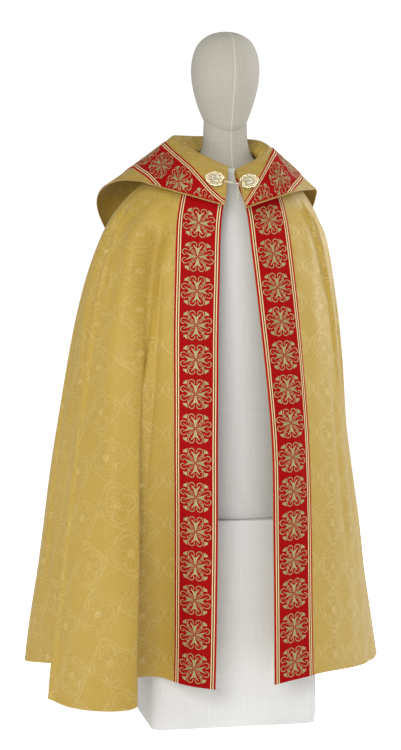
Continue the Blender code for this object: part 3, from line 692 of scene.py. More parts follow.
def damask(name, deep, plain, light):
    """Silk damask: a self-coloured figure with a deeper, shinier fill and raised lines; its lines and
    blossoms are painted a lighter gold, a painted sheen that comes and goes in patches.
    """
    made, sums, shader = new_material(name, 0.5, Sheen_Weight=0.22, Sheen_Roughness=0.3,
                                      Sheen_Tint=(1.0, 0.92, 0.76, 1.0), Specular_IOR_Level=0.5)
    cut = sums.flat()
    woven = sums.group(damask_figure, Vector=cut)
    threads = sums.group(weave, Vector=cut, Threads=1500.0)
    slow = sums.noise(sums.objects(), 3.0, 3.0)
    slub = sums.step(threads.outputs["Slub"], 0.35, 0.65)
    ground = sums.mix(sums.plus(sums.times(slow, 0.7), sums.times(slub, 0.3)),
                      (*deep, 1.0), (*plain, 1.0))
    # Painted sheen: the lighter lines are broken up in patches, standing in for shine that turns with the
    # weave.
    sheen_patches = sums.math("MULTIPLY_ADD", sums.step(sums.noise(cut, 24.0, 2.0), 0.36, 0.62), 0.40, 0.60)
    line = sums.times(woven.outputs["Line"], sheen_patches)
    figured = sums.mix(sums.times(woven.outputs["Figure"], 0.30), ground, (*deep, 1.0))
    # Painted sheen: blossoms and lines are painted a lighter gold, standing in for the satin shine that shows
    # the figure.
    dotted = sums.mix(sums.times(woven.outputs["Blossom"], 0.34), figured, (*light, 1.0))
    lined = sums.mix(sums.times(line, 0.85), dotted, (*light, 1.0))
    sums.feed(shader["Base Color"], lined)
    shine = sums.most(line, sums.times(woven.outputs["Figure"], 0.35))
    sums.feed(shader["Roughness"], sums.minus(0.54, sums.times(shine, 0.16)))
    fine = sums.bump(threads.outputs["Height"], 0.00012, 0.45)
    sums.feed(shader["Normal"], sums.bump(woven.outputs["Height"], 0.0008, 0.75, fine))
    return made


CLOTH = 0.002
SEAM_RIGHT = 98.0           # turns of the side seams
SEAM_LEFT = 262.0
SEAM_TURN = 0.02            # half the slit between two panels, in degrees
SEAM_GAP = 0.0003
BAND_WIDTH = 0.110
PANEL_ROWS = 170
PANEL_COLUMNS = {"right": 150, "left": 130, "back": 216}
# The third colour is the painted sheen of the figure's lines and blossoms.
gold_damask = damask("gold damask", (0.405, 0.256, 0.024), (0.505, 0.338, 0.050), (0.65, 0.49, 0.17))
rows_down = np.interp(np.linspace(0, 1, PANEL_ROWS), (0, 0.3, 1), (0, 0.36, HEM_DOWN))


def panel_turns(side):
    """Turns of a panel's columns for each row: the band's own share first, then on to the side seam."""
    if side == "back":
        across = np.linspace(SEAM_RIGHT + SEAM_TURN, SEAM_LEFT - SEAM_TURN, PANEL_COLUMNS[side])
        return np.repeat(across[None, :], PANEL_ROWS, axis=0)
    band = band_turns(rows_down, side, np.linspace(0, BAND_WIDTH, 16))
    seam = SEAM_RIGHT - SEAM_TURN if side == "right" else SEAM_LEFT + SEAM_TURN
    share = np.linspace(0, 1, PANEL_COLUMNS[side])[None, 1:]
    rest = band[:, -1:] + (seam - band[:, -1:]) * share
    return np.sort(np.concatenate([band, rest], axis=1), axis=1)


# The cut of each panel: width and length of the cloth it comes from, and its flat area.
for side, name, node in (("right", "front_right_cloth", "front_right"), ("back", "back_cloth", "back"),
                         ("left", "front_left_cloth", "front_left")):
    turns = panel_turns(side)
    downs = np.repeat(rows_down[:, None], turns.shape[1], axis=1)
    smooth = hanging_point(downs, turns)
    hung = creased(smooth, downs, turns)
    panel = lay_sheet(name, hung, flat_cut(smooth, downs, turns, side), gold_damask)
    thicken(panel, CLOTH)
    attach(panel, "root")
    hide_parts(node)


# ------------------------------------------------------------------ the front orphreys
# Red silk bands down both front edges: woven with gold lines along each side, embroidered in gold
# thread with a row of cut-work medallions, and slip-stitched to the damask.
BRAID = 0.0013
# From either edge inwards: the red selvedge, then gold, maroon and gold lines, then the red field.
LINE_ENDS = (0.0, 0.0048, 0.0074, 0.0104, 0.0130)
LINE_SOFT = 0.0002
MEDALLION_PITCH = 0.084
HALF_COLUMNS = [0.0, 0.0012] + [end + step for end in LINE_ENDS[1:] for step in (-LINE_SOFT, LINE_SOFT)] + [
    0.022, 0.033, 0.044]
BAND_ACROSS = np.array(HALF_COLUMNS + [0.055] + [BAND_WIDTH - across for across in reversed(HALF_COLUMNS)])


def band_lift(across):
    """Height of the band over the cloth: gold lines stand up a little and the edges turn down."""
    edge = np.minimum(across, BAND_WIDTH - across)
    gold = ((edge > LINE_ENDS[1]) & (edge < LINE_ENDS[2])) | ((edge > LINE_ENDS[3]) & (edge < LINE_ENDS[4]))
    return SEAM_GAP + BRAID - 0.0007 * (edge < 0.0006) + 0.0003 * gold


def make_orphrey_silk():
    made, sums, shader = new_material("orphrey silk", 0.65, Sheen_Weight=0.05, Sheen_Roughness=0.4,
                                      Sheen_Tint=(1.0, 0.35, 0.30, 1.0), Specular_IOR_Level=0.06)
    cut = sums.flat()
    parts = sums.split(cut)
    across = parts["X"]
    edge = sums.math("MINIMUM", across, sums.minus(BAND_WIDTH, across))
    threads = sums.group(weave, Vector=cut, Threads=1700.0)
    tone = sums.plus(sums.times(sums.noise(cut, 9.0), 0.6),
                     sums.times(threads.outputs["Slub"], 0.5))
    red = sums.mix(tone, (0.285, 0.001, 0.002, 1.0), (0.375, 0.002, 0.004, 1.0))
    selvedge = sums.less(sums.step(edge, LINE_ENDS[1] - LINE_SOFT, LINE_ENDS[1] + LINE_SOFT))
    red = sums.mix(sums.times(selvedge, 0.45), red, (0.40, 0.002, 0.014, 1.0))
    masks = []
    for low, high in zip(LINE_ENDS[1:], LINE_ENDS[2:]):
        masks.append(sums.near(edge, (low + high) / 2, (high - low) / 2 - LINE_SOFT, LINE_SOFT))
    gold = sums.plus(masks[0], masks[2], clamp=True)
    lined = sums.mix(masks[1], red, (0.20, 0.010, 0.014, 1.0))
    thread = sums.mix(threads.outputs["Slub"], (0.62, 0.55, 0.24, 1.0), (0.86, 0.80, 0.46, 1.0))
    sums.feed(shader["Base Color"], sums.mix(gold, lined, thread))
    sums.feed(shader["Roughness"], sums.minus(0.58, sums.times(gold, 0.15)))
    sums.feed(shader["Normal"], sums.bump(threads.outputs["Height"], 0.00012, 0.5))
    return made


def make_gold_thread(name, dark, light):
    made, sums, shader = new_material(name, 0.42, 0.25, Sheen_Weight=0.1,
                                      Sheen_Tint=(1.0, 0.92, 0.65, 1.0))
    cut = sums.flat()
    strands = sums.node("ShaderNodeTexWave", wave_type="BANDS", bands_direction="DIAGONAL")
    sums.feed(strands.inputs["Vector"], cut)
    strands.inputs["Scale"].default_value = 420.0
    strands.inputs["Distortion"].default_value = 1.2
    tone = sums.noise(cut, 130.0, 3.0)
    # Random lighter and darker patches, with lighter and darker stripes along the diagonal strands.
    strand_tone = sums.plus(sums.times(tone, 0.7), sums.times(strands.outputs["Fac"], 0.35))
    sums.feed(shader["Base Color"], sums.mix(strand_tone, (*dark, 1.0), (*light, 1.0)))
    sums.feed(shader["Normal"], sums.bump(strands.outputs["Fac"], 0.0002, 0.5))
    return made


orphrey_silk = make_orphrey_silk()
gold_thread = make_gold_thread("gold thread", (0.24, 0.21, 0.08), (0.47, 0.43, 0.20))
# Painted shade: the side arms are stitched in the same gold thread, and this darker copy stands for crosswise
# stitches that catch less light.
cross_thread_painted_shade = make_gold_thread("crosswise gold thread with painted shade", (0.22, 0.18, 0.065), (0.38, 0.32, 0.14))


def cord_line(name, points, radius, closed=False, taper=0.0):
    """A round cord along points, made a mesh; its ends thin out by the taper."""
    deselect()
    bpy.ops.curve.primitive_nurbs_path_add(location=(0, 0, 0))
    made = named(name)
    line = made.data
    line.splines.clear()
    spline = line.splines.new("POLY")
    spline.points.add(len(points) - 1)
    for i, point in enumerate(points):
        spline.points[i].co = (*point, 1.0)
        share = i / (len(points) - 1)
        spline.points[i].radius = 1.0 if closed else 1.0 - taper * abs(2 * share - 1) ** 3
    spline.use_cyclic_u = closed
    line.dimensions = "3D"
    line.twist_mode = "MINIMUM"
    line.bevel_depth = radius
    line.bevel_resolution = 1
    line.use_fill_caps = True
    bpy.ops.object.convert(target="MESH")
    return bpy.context.object


def padded_shape(name, outline, height):
    """A flat outline raised into a closed pad of stitches, with its edge drawn in."""
    deselect()
    bpy.ops.mesh.primitive_circle_add(vertices=len(outline), radius=1.0, fill_type="NGON", location=(0, 0, 0))
    made = named(name)
    for vertex, point in zip(made.data.vertices, outline):
        vertex.co = (*point, 0.0)
    edit_all()
    bpy.ops.mesh.extrude_region_move(TRANSFORM_OT_translate={"value": (0, 0, height)})
    bpy.ops.mesh.inset(thickness=0.0004)
    bpy.ops.mesh.select_all(action="SELECT")
    bpy.ops.mesh.quads_convert_to_tris()
    leave_edit()
    return made


def joined(name, pieces):
    deselect()
    for piece in reversed(pieces):
        take_up(piece)
    bpy.ops.object.join()
    return named(name)


# The medallion, in centimetres from its centre: X across the band and Y along it.
UPRIGHT_ARM = ((0.0, 0.10), (0.20, 0.55), (0.30, 1.05), (0.42, 1.50), (0.62, 2.00), (0.98, 2.48),
               (1.18, 2.92), (0.84, 2.70), (0.52, 2.36), (0.0, 2.05))
SIDE_ARM = ((0.10, 0.0), (0.60, 0.22), (1.15, 0.34), (1.60, 0.48), (2.15, 0.66), (2.75, 0.84), (3.22, 1.12),
            (2.95, 0.80), (2.40, 0.46), (1.90, 0.0))
FAN = ((2.12, 2.42), (2.50, 2.36), (2.86, 2.44), (3.25, 2.33), (3.00, 2.66), (3.08, 2.95), (2.74, 2.98),
       (2.46, 3.24), (1.96, 3.44), (2.16, 3.04), (2.14, 2.70))
LEAF = ((0.42, 0.46), (0.62, 0.98), (0.98, 1.42), (1.40, 1.78), (1.92, 2.12), (1.86, 1.60), (1.62, 1.10),
        (1.18, 0.72), (0.72, 0.52))
CENTIMETRE = 0.01
RELIEF = 0.62               # the stitches are pressed down to this share of their drawn height
FIRST_MEDALLION = 0.045     # from the hem to the lowest medallion's centre


def arc(centre, radius, start, sweep, count, curl=0.35):
    """Points round a scroll that winds in towards its end."""
    points = []
    for i in range(count):
        share = i / (count - 1)
        angle = math.radians(start + sweep * share)
        reach = radius * (1 - curl * max(0.0, share - 0.55) / 0.45)
        points.append((centre[0] + reach * math.cos(angle), centre[1] + reach * math.sin(angle)))
    return points


def make_medallion():
    """One medallion lying flat: four forked arms, eight scrolls, four leaves with eyes, four fans."""
    pieces = []

    def mirrored(points, across, along):
        return [(x * across * CENTIMETRE, y * along * CENTIMETRE) for x, y in points]

    def line(points, thick, across, along, closed=False):
        route = [(x, y, 0.0) for x, y in mirrored(points, across, along)]
        pieces.append(cord_line("scroll", route, thick * CENTIMETRE, closed, 0.45))

    def whole_arm(half, axis):
        other = [((-x, y) if axis == 0 else (x, -y)) for x, y in reversed(half[1:-1])]
        return list(half) + other

    for sign in (1, -1):
        pieces.append(padded_shape("arm", mirrored(whole_arm(UPRIGHT_ARM, 0), 1, sign), 0.0007))
        pieces.append(padded_shape("arm", mirrored(whole_arm(SIDE_ARM, 1), sign, 1), 0.0006))
        # The side arms take the darker copy of the gold thread: painted shade for stitches that catch less
        # light.
        pieces[-1].data.materials.append(cross_thread_painted_shade)
    for across in (1, -1):
        for along in (1, -1):
            line(arc((0.94, 2.67), 0.90, -50, 250, 13), 0.105, across, along)
            line(arc((3.02, 0.97), 0.80, 140, -250, 13), 0.105, across, along)
            line(arc((0.95, 0.95), 1.28, 82, -74, 7, 0.0), 0.075, across, along)
            line([(x * 0.96, y * 0.96) for x, y in LEAF], 0.065, across, along, closed=True)
            line(arc((1.10, 1.12), 0.20, 0, 315, 7, 0.0), 0.055, across, along, closed=True)
            line(((1.30, 1.42), (1.62, 1.70), (1.95, 2.10), (2.20, 2.45)), 0.075, across, along)
            pieces.append(padded_shape("fan", mirrored(FAN, across, along), 0.0006))
    for piece in pieces:
        if not piece.data.materials:
            piece.data.materials.append(gold_thread)
    made = joined("medallion", pieces)
    points = np.array([vertex.co for vertex in made.data.vertices])
    points[:, 2] *= RELIEF
    made.data.vertices.foreach_set("co", points.ravel())
    return made


medallion = make_medallion()
medallion_points = np.array([vertex.co for vertex in medallion.data.vertices])


def surface_reader(points, normals, along, across):
    """A function that gives places over a grid: along its rows, across its columns, and lifted off it."""
    def at(place_along, place_across, lift):
        row = np.clip(np.searchsorted(along, place_along) - 1, 0, len(along) - 2)
        column = np.clip(np.searchsorted(across, place_across) - 1, 0, len(across) - 2)
        down = ((place_along - along[row]) / (along[row + 1] - along[row]))[:, None]
        over = ((place_across - across[column]) / (across[column + 1] - across[column]))[:, None]

        def blend(grid):
            near = grid[row, column] * (1 - over) + grid[row, column + 1] * over
            far = grid[row + 1, column] * (1 - over) + grid[row + 1, column + 1] * over
            return near * (1 - down) + far * down
        return blend(points) + unit(blend(normals)) * lift[:, None]
    return at


def lay_medallions(name, at, centres, keep, stretch=1.0):
    """A row of medallions carried from flat onto a band; what keep rules out is cut away."""
    copies = []
    for centre in centres:
        along = centre + medallion_points[:, 1] * stretch
        across = BAND_WIDTH / 2 + medallion_points[:, 0]
        deselect()
        take_up(medallion)
        bpy.ops.object.duplicate()
        copy = bpy.context.object
        mesh = copy.data
        mark_cut(mesh, np.stack([across, along], axis=-1))
        lost = ~keep(along, across)
        mesh.vertices.foreach_set("co", at(along, across, medallion_points[:, 2]).ravel())
        mesh.update()
        if lost.any():
            bpy.ops.object.mode_set(mode="EDIT")
            shape = bmesh.from_edit_mesh(mesh)
            bmesh.ops.delete(shape, geom=[v for v in shape.verts if lost[v.index]], context="VERTS")
            bmesh.update_edit_mesh(mesh)
            bpy.ops.object.mode_set(mode="OBJECT")
        copies.append(copy)
    made = joined(name, copies)
    bpy.ops.object.shade_smooth_by_angle(angle=math.radians(50))
    return made


band_downs = rows_down[rows_down > 0.02]
for side in ("right", "left"):
    way = BAND_ACROSS if side == "right" else BAND_ACROSS[::-1]
    turns = band_turns(band_downs, side, way)
    order = np.argsort(turns[0])
    turns = turns[:, order]
    across = way[order]
    downs = np.repeat(band_downs[:, None], len(across), axis=1)
    ground = creased(hanging_point(downs, turns), downs, turns)
    normals = grid_normals(ground)
    face = ground + normals * band_lift(across)[None, :, None]
    along = run_lengths(ground, 0)[:, len(across) // 2]
    flat = np.stack(np.broadcast_arrays(across[None, :], along[:, None]), axis=-1)
    band = lay_sheet("orphrey_%s" % side, face, flat, orphrey_silk)
    thicken(band, BRAID)
    steps = across if side == "right" else BAND_WIDTH - across
    at = surface_reader(face, normals, along, steps)
    first = along[-1] - FIRST_MEDALLION
    centres = [first - MEDALLION_PITCH * k for k in range(int(first / MEDALLION_PITCH))]
    sewn = lay_medallions("embroidery_%s" % side, at, centres, lambda a, b: np.ones(len(a), bool))
    for piece in (band, sewn):
        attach(piece, "root")
    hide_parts("orphrey_front_%s" % side)


# ------------------------------------------------------------------ the hood
# A deep hood of the same damask, gathered into the neck seam inside, rolled over at the rim, and
# falling round the shoulders to a free edge. Its red band follows the front of the fall.
# Hood: at each turn, the rim, the point that the fall bends towards, its free edge, and how far the
# orphrey band's upper edge lies below the rim.
HOOD_COLUMNS = ("turn", "rim_x", "rim_y", "rim_z", "bend_x", "bend_y", "bend_z",
                "edge_x", "edge_y", "edge_z", "band_top")
HOOD_STATIONS = {
    "right_front":     (11.5, -0.0165, -0.119, 1.404, -0.027, -0.150, 1.360, -0.036, -0.166, 1.304, 0.1000),
    "right_breast":    (33.0, -0.052, -0.093, 1.422, -0.086, -0.126, 1.388, -0.116, -0.133, 1.328, 0.066),
    "right_collar":    (62.0, -0.089, -0.045, 1.447, -0.136, -0.075, 1.408, -0.172, -0.088, 1.347, 0.044),
    "right_neck":      (92.0, -0.112, 0.015, 1.468, -0.165, -0.013, 1.418, -0.211, -0.037, 1.363, 0.031),
    "right_shoulder":  (114.0, -0.120, 0.070, 1.490, -0.188, 0.052, 1.428, -0.255, 0.034, 1.372, 0.030),
    "right_wing":      (127.0, -0.108, 0.105, 1.494, -0.210, 0.108, 1.420, -0.294, 0.100, 1.362, 0.040),
    "right_wing_tip":  (137.0, -0.092, 0.122, 1.495, -0.272, 0.155, 1.386, -0.306, 0.165, 1.328, 0.062),
    "right_back_side": (153.0, -0.060, 0.137, 1.495, -0.240, 0.215, 1.388, -0.252, 0.250, 1.222, 0.155),
    "right_back":      (167.0, -0.030, 0.142, 1.495, -0.132, 0.238, 1.385, -0.142, 0.326, 1.090, 0.235),
    "centre_back":     (180.0, 0.000, 0.143, 1.495, 0.000, 0.236, 1.380, 0.000, 0.352, 1.030, 0.285),
    "left_back":       (193.0, 0.030, 0.142, 1.493, 0.128, 0.238, 1.382, 0.136, 0.324, 1.090, 0.235),
    "left_back_side":  (206.0, 0.060, 0.132, 1.490, 0.222, 0.208, 1.385, 0.236, 0.240, 1.222, 0.150),
    "left_wing_tip":   (222.0, 0.088, 0.105, 1.486, 0.240, 0.130, 1.405, 0.268, 0.140, 1.315, 0.050),
    "left_wing":       (243.0, 0.103, 0.060, 1.480, 0.188, 0.062, 1.417, 0.258, 0.070, 1.350, 0.030),
    "left_shoulder":   (274.0, 0.108, 0.000, 1.467, 0.170, -0.012, 1.412, 0.225, -0.015, 1.352, 0.018),
    "left_neck":       (300.0, 0.101, -0.052, 1.453, 0.145, -0.082, 1.405, 0.175, -0.100, 1.345, 0.014),
    "left_collar":     (322.0, 0.075, -0.087, 1.435, 0.110, -0.126, 1.394, 0.135, -0.150, 1.337, 0.025),
    "left_breast":     (340.0, 0.042, -0.109, 1.416, 0.062, -0.150, 1.377, 0.080, -0.173, 1.320, 0.053),
    "left_front":      (359.5, 0.000, -0.123, 1.396, 0.006, -0.158, 1.352, 0.0146, -0.177, 1.297, 0.098),
}
hood = columns_of([row[1:] for row in HOOD_STATIONS.values()], HOOD_COLUMNS[1:],
                  [row[0] for row in HOOD_STATIONS.values()])
ROLL = 0.007


def corner_of(name, turn):
    return np.stack([hood[name + "_" + axis](turn) for axis in "xyz"], axis=-1)


def curve_through(a, b, c, t):
    t = t[..., None]
    return a * (1 - t) ** 2 + b * (2 * t * (1 - t)) + c * t ** 2


def hood_section(turn, run):
    """The hood's section without its roll: run is -1 at the neck seam, 0 at the rim, 1 at the edge."""
    rim = corner_of("rim", turn)
    seam = smooth_ring(np.zeros_like(turn), turn) + np.array([0.0, 0.0, CLOTH * 1.15 + SEAM_GAP])
    middle = (seam + rim) / 2 - np.array([0.0, 0.0, 0.004])
    inside = curve_through(rim, middle, seam, np.clip(-run, 0, 1))
    outside = curve_through(rim, corner_of("bend", turn), corner_of("edge", turn), np.clip(run, 0, None))
    return np.where((run < 0)[..., None], inside, outside)


def fall_length(turn):
    turns, runs = np.meshgrid(turn, np.linspace(0, 1, 13))
    return run_lengths(hood_section(turns, runs), 0)[-1]


def stand_length(turn):
    ends = [hood_section(turn, np.full_like(turn, run)) for run in (-1.0, 0.0)]
    return np.maximum(np.linalg.norm(ends[0] - ends[1], axis=-1), 0.01)


def hood_points(turn, run):
    """Points of the hood with its rim rolled over, for grids of one turn to a column."""
    up = ROLL / stand_length(turn[0])[None, :]
    out = ROLL / fall_length(turn[0])[None, :]
    fade = np.maximum(0.0, 1 - np.abs(run) / (3 * np.where(run < 0, up, out)))[..., None]
    here = hood_section(turn, run)
    rolled = (hood_section(turn, np.maximum(run - up, -1.0)) + here * 2 + hood_section(turn, run + out)) / 4
    return here * (1 - fade) + rolled * fade


HOOD_RIGHT = 11.5           # turns of the hood's front ends
HOOD_LEFT = 359.5
hood_turns = np.concatenate([np.linspace(HOOD_RIGHT, 110, 90)[:-1], np.linspace(110, 250, 130)[:-1],
                             np.linspace(250, HOOD_LEFT, 96)])
fall_reach = fall_length(hood_turns)
stand_reach = stand_length(hood_turns)


def hood_grid(runs):
    turns = np.repeat(hood_turns[None, :], len(runs), axis=0)
    return turns, hood_points(turns, runs)


def hood_cut(points, from_centre):
    """The hood's flat cut: round by growing turn, and out from the neck."""
    round_it = run_lengths(points, 1)
    middle = round_it[:, [int(np.argmin(np.abs(hood_turns - 180.0)))]]
    return np.stack([round_it - middle, from_centre + run_lengths(points, 0)], axis=-1)


# The stand, drawn up in uneven gathers that are deepest at the neck seam.
stand_rows = -np.concatenate([np.linspace(1, 0.15, 18), [0.07, 0.0]])
stand_runs = np.repeat(stand_rows[:, None], len(hood_turns), axis=1)
stand_runs = stand_runs - SEAM_GAP / 2 / stand_reach[None, :] * (stand_runs > -0.001)
turns, stand = hood_grid(stand_runs)
gather = (0.0034 * np.sin(np.radians(turns * 19 + 60 * np.sin(np.radians(turns * 2.3))))
          + 0.0016 * np.sin(np.radians(turns * 37 + 70)))
depth = np.clip(-stand_runs * 1.5, 0, 1) * np.clip((1.02 + stand_runs) * 5, 0, 1)
clear = np.clip((turns - HOOD_RIGHT) / 20, 0, 1) * np.clip((HOOD_LEFT - turns) / 20, 0, 1)
stand = stand + grid_normals(stand) * (gather * depth * clear)[..., None]
lining = lay_sheet("hood_stand", stand, hood_cut(stand, 0.0), gold_damask)
thicken(lining, CLOTH)

# The fall, with a few slack folds where it turns over the shoulders.
FALL_FOLDS = (  # turn, width, height, lean
    (58.0, 5.0, -0.0020, 14.0), (101.0, 6.0, 0.0022, -10.0), (133.0, 5.0, -0.0035, 6.0),
    (149.0, 6.0, 0.0040, -4.0), (163.0, 5.5, -0.0045, 3.0), (174.0, 5.0, 0.0035, 2.0),
    (187.0, 5.5, -0.0040, -2.0), (200.0, 5.5, 0.0045, -3.0), (212.0, 5.0, -0.0035, 4.0),
    (236.0, 6.0, 0.0025, 8.0), (262.0, 7.0, -0.0020, 10.0), (318.0, 6.0, -0.0018, -12.0),
)


def hood_folds(turns, runs):
    lift = np.zeros_like(turns)
    for turn, width, height, lean in FALL_FOLDS:
        away = (turns - turn - lean * (runs - 0.5)) / width
        lift += height * np.exp(-away ** 2) * np.sin(np.pi * np.clip(runs * 0.8, 0, 1)) ** 2
    wave = (0.0010 * np.sin(np.radians(turns * 7 + 90 * runs))
            + 0.0006 * np.sin(np.radians(turns * 17 - 60 * runs)))
    return lift + wave * np.clip(runs * 3, 0, 1)


band_top = np.minimum(np.maximum(hood["band_top"](hood_turns), 0.004) / fall_reach, 0.955)
rows = np.linspace(0, 1, 46) ** 1.15
rim_gap = SEAM_GAP / 2 / fall_reach[None, :]
fall_runs = rim_gap + rows[:, None] * (1 - rim_gap)
turns, smooth_fall = hood_grid(fall_runs)
fall_points = smooth_fall + grid_normals(smooth_fall) * hood_folds(turns, fall_runs)[..., None]
FALL_CUT_START = 0.06       # the rim's place on the flat cut, out from the neck seam
fall = lay_sheet("hood_fall_cloth", fall_points, hood_cut(smooth_fall, FALL_CUT_START), gold_damask)
thicken(fall, CLOTH)
for piece, node in ((lining, "hood_lining"), (fall, "hood_fall")):
    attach(piece, "root")
    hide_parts(node)

# The band on the fall: where it runs off the free edge it is cut with the hood.
runs = band_top[None, :] + BAND_ACROSS[:, None] / fall_reach[None, :]
CUT_OFF = 0.985             # share of the fall at which the band is cut
CLOSE = 0.0002              # what is cut off lies folded within this share
left_over = CLOSE * np.arange(len(BAND_ACROSS))[:, None] / len(BAND_ACROSS)
runs = np.where(runs > CUT_OFF, CUT_OFF + left_over, runs)
turns, smooth_band = hood_grid(runs)
band_normals = grid_normals(smooth_band)
ground = smooth_band + band_normals * hood_folds(turns, runs)[..., None]
across_real = (runs - band_top[None, :]) * fall_reach[None, :]
face = ground + band_normals * band_lift(across_real)[..., None]
whole = band_top[None, :] + BAND_ACROSS[:, None] / fall_reach[None, :]
turns, whole_band = hood_grid(whole)
middle = np.argmin(np.abs(BAND_ACROSS - BAND_WIDTH / 2))
band_along = run_lengths(whole_band, 1)[middle]
flat = np.stack(np.broadcast_arrays(across_real, band_along[None, :]), axis=-1)
hood_band = lay_sheet("orphrey_hood_band", face, flat, orphrey_silk)
thicken(hood_band, BRAID)

on_hood = surface_reader(np.swapaxes(whole_band + grid_normals(whole_band)
                                     * (hood_folds(turns, whole) + SEAM_GAP + BRAID)[..., None], 0, 1),
                         np.swapaxes(grid_normals(whole_band), 0, 1), band_along, BAND_ACROSS)


def inside_hood(along, across):
    """Whether a place on the band lies inside the hood's free edge and ends."""
    room = (CUT_OFF - np.interp(along, band_along, band_top)) * np.interp(along, band_along, fall_reach)
    return (across < room) & (along > 0.004) & (along < band_along[-1] - 0.004)


HOOD_MEDALLION_START = 0.060        # from either front end; the two runs meet at the centre back
HOOD_MEDALLION_STRETCH = 1.17       # the hood's band is drawn out lengthways where it is eased round
pitch = MEDALLION_PITCH * HOOD_MEDALLION_STRETCH
half_run = np.arange(HOOD_MEDALLION_START, band_along[-1] / 2 - pitch / 3, pitch)
centres = list(half_run) + list(band_along[-1] - half_run)
hood_sewn = lay_medallions("embroidery_hood", on_hood, centres, inside_hood, HOOD_MEDALLION_STRETCH)
for piece in (hood_band, hood_sewn):
    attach(piece, "root")
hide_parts("orphrey_hood")

# Gold-brown cord covers the hood's free edge and turns up along its two front ends.
cord_silk, sums, shader = new_material("edge cord", 0.6, Sheen_Weight=0.3, Sheen_Tint=(1.0, 0.8, 0.5, 1.0))
ply = sums.node("ShaderNodeTexWave", wave_type="BANDS", bands_direction="DIAGONAL")
sums.feed(ply.inputs["Vector"], sums.objects())
ply.inputs["Scale"].default_value = 190.0
sums.feed(shader["Base Color"],
          sums.mix(ply.outputs["Fac"], (0.30, 0.165, 0.035, 1.0), (0.50, 0.31, 0.085, 1.0)))
sums.feed(shader["Normal"], sums.bump(ply.outputs["Fac"], 0.0004, 0.6))

CORD_RADIUS = 0.0017
CORD_START = 12             # the cord leaves out the first rows of each front end, by the rim
border = fall_points - grid_normals(smooth_fall) * (CLOTH / 2)
edge_line = np.concatenate([border[CORD_START:, 0], border[-1, 1:], border[CORD_START:-1, -1][::-1]])
edge_cord = cord_line("hood_edge_cord", edge_line, CORD_RADIUS)
edge_cord.data.materials.append(cord_silk)
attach(edge_cord, "root")


# ------------------------------------------------------------------ the clasp
# Two cast filigree leaves in pale gilt, sewn on at their rims. A short chain from the right leaf ends
# in an S hook, which is caught in the left leaf's eye; the chain's spare end hangs from the hook.

def make_gilt(name, bright, tarnished):
    made, sums, shader = new_material(name, 0.35, 0.85)
    place = sums.objects()
    tarnish = sums.step(sums.noise(place, 420.0, 4.0, 0.65), 0.42, 0.64)
    base = sums.mix(tarnish, (*bright, 1.0), (*tarnished, 1.0))
    sums.feed(shader["Base Color"], base)
    sums.feed(shader["Roughness"], sums.plus(0.24, sums.times(tarnish, 0.25)))
    sums.feed(shader["Normal"], sums.bump(sums.noise(place, 900.0, 2.0), 0.0002, 0.3))
    return made


gilt = make_gilt("pale gilt", (0.93, 0.88, 0.72), (0.60, 0.52, 0.34))
# Painted shadow: the backing plate is the same gilt, darkened in both its colours so that the gaps between
# the filigree wires read as shade; its patches vary at random like the pale gilt's tarnish.
gilt_painted_shadow = make_gilt("gilt with painted shadow", (0.42, 0.34, 0.19), (0.16, 0.12, 0.06))
LINK_LENGTH = 0.0086
LINK_WIDTH = 0.0058
LINK_WIRE = 0.0012
LINK_PITCH = LINK_LENGTH - 2 * LINK_WIRE - SEAM_GAP
PLATE_LENGTH = 0.046
PLATE_WIDTH = 0.037
PLATE_THICK = 0.0012
LEAF_CENTRE = PLATE_LENGTH * 0.52           # from the eye to the middle of the leaf's dome
LEAF_HALF = PLATE_WIDTH * 0.46
LEAF_START = -162                           # the rim runs round from one side of the eye to the other
LEAF_SWEEP = 324
PLATE_LIFT = 0.0044
EYE_HOLE = 0.0016
EYE_RIM = 0.0031
HOOK_LOOP = 0.0022
SCALLOPS = 9


def leaf_rim(count, size=1.0):
    """The leaf's scalloped outline, from one side of the eye round its pointed end to the other."""
    points = []
    for i in range(count):
        share = i / (count - 1)
        angle = math.radians(LEAF_START + LEAF_SWEEP * share)
        swell = 1 + 0.13 * abs(math.sin(math.pi * SCALLOPS * share))
        point = 1 + 0.10 * max(0.0, math.cos(angle)) ** 6
        reach = (PLATE_LENGTH - LEAF_CENTRE) * 0.90 * size
        points.append((LEAF_CENTRE + reach * math.cos(angle) * swell * point,
                       LEAF_HALF * size * math.sin(angle) * swell))
    return points


def dome(x, y):
    """Height of the leaf's face over its flat back."""
    away = ((x - LEAF_CENTRE) / (PLATE_LENGTH * 0.42)) ** 2 + (y / LEAF_HALF) ** 2
    return 0.0006 + 0.0020 * max(0.0, 1 - away)


def ring_at(name, place, major, minor, sides=18):
    deselect()
    bpy.ops.mesh.primitive_torus_add(location=place, major_radius=major, minor_radius=minor,
                                     major_segments=sides, minor_segments=8)
    return named(name)


def bead_at(name, place, radius):
    deselect()
    bpy.ops.mesh.primitive_ico_sphere_add(subdivisions=2, radius=radius, location=place)
    return named(name)


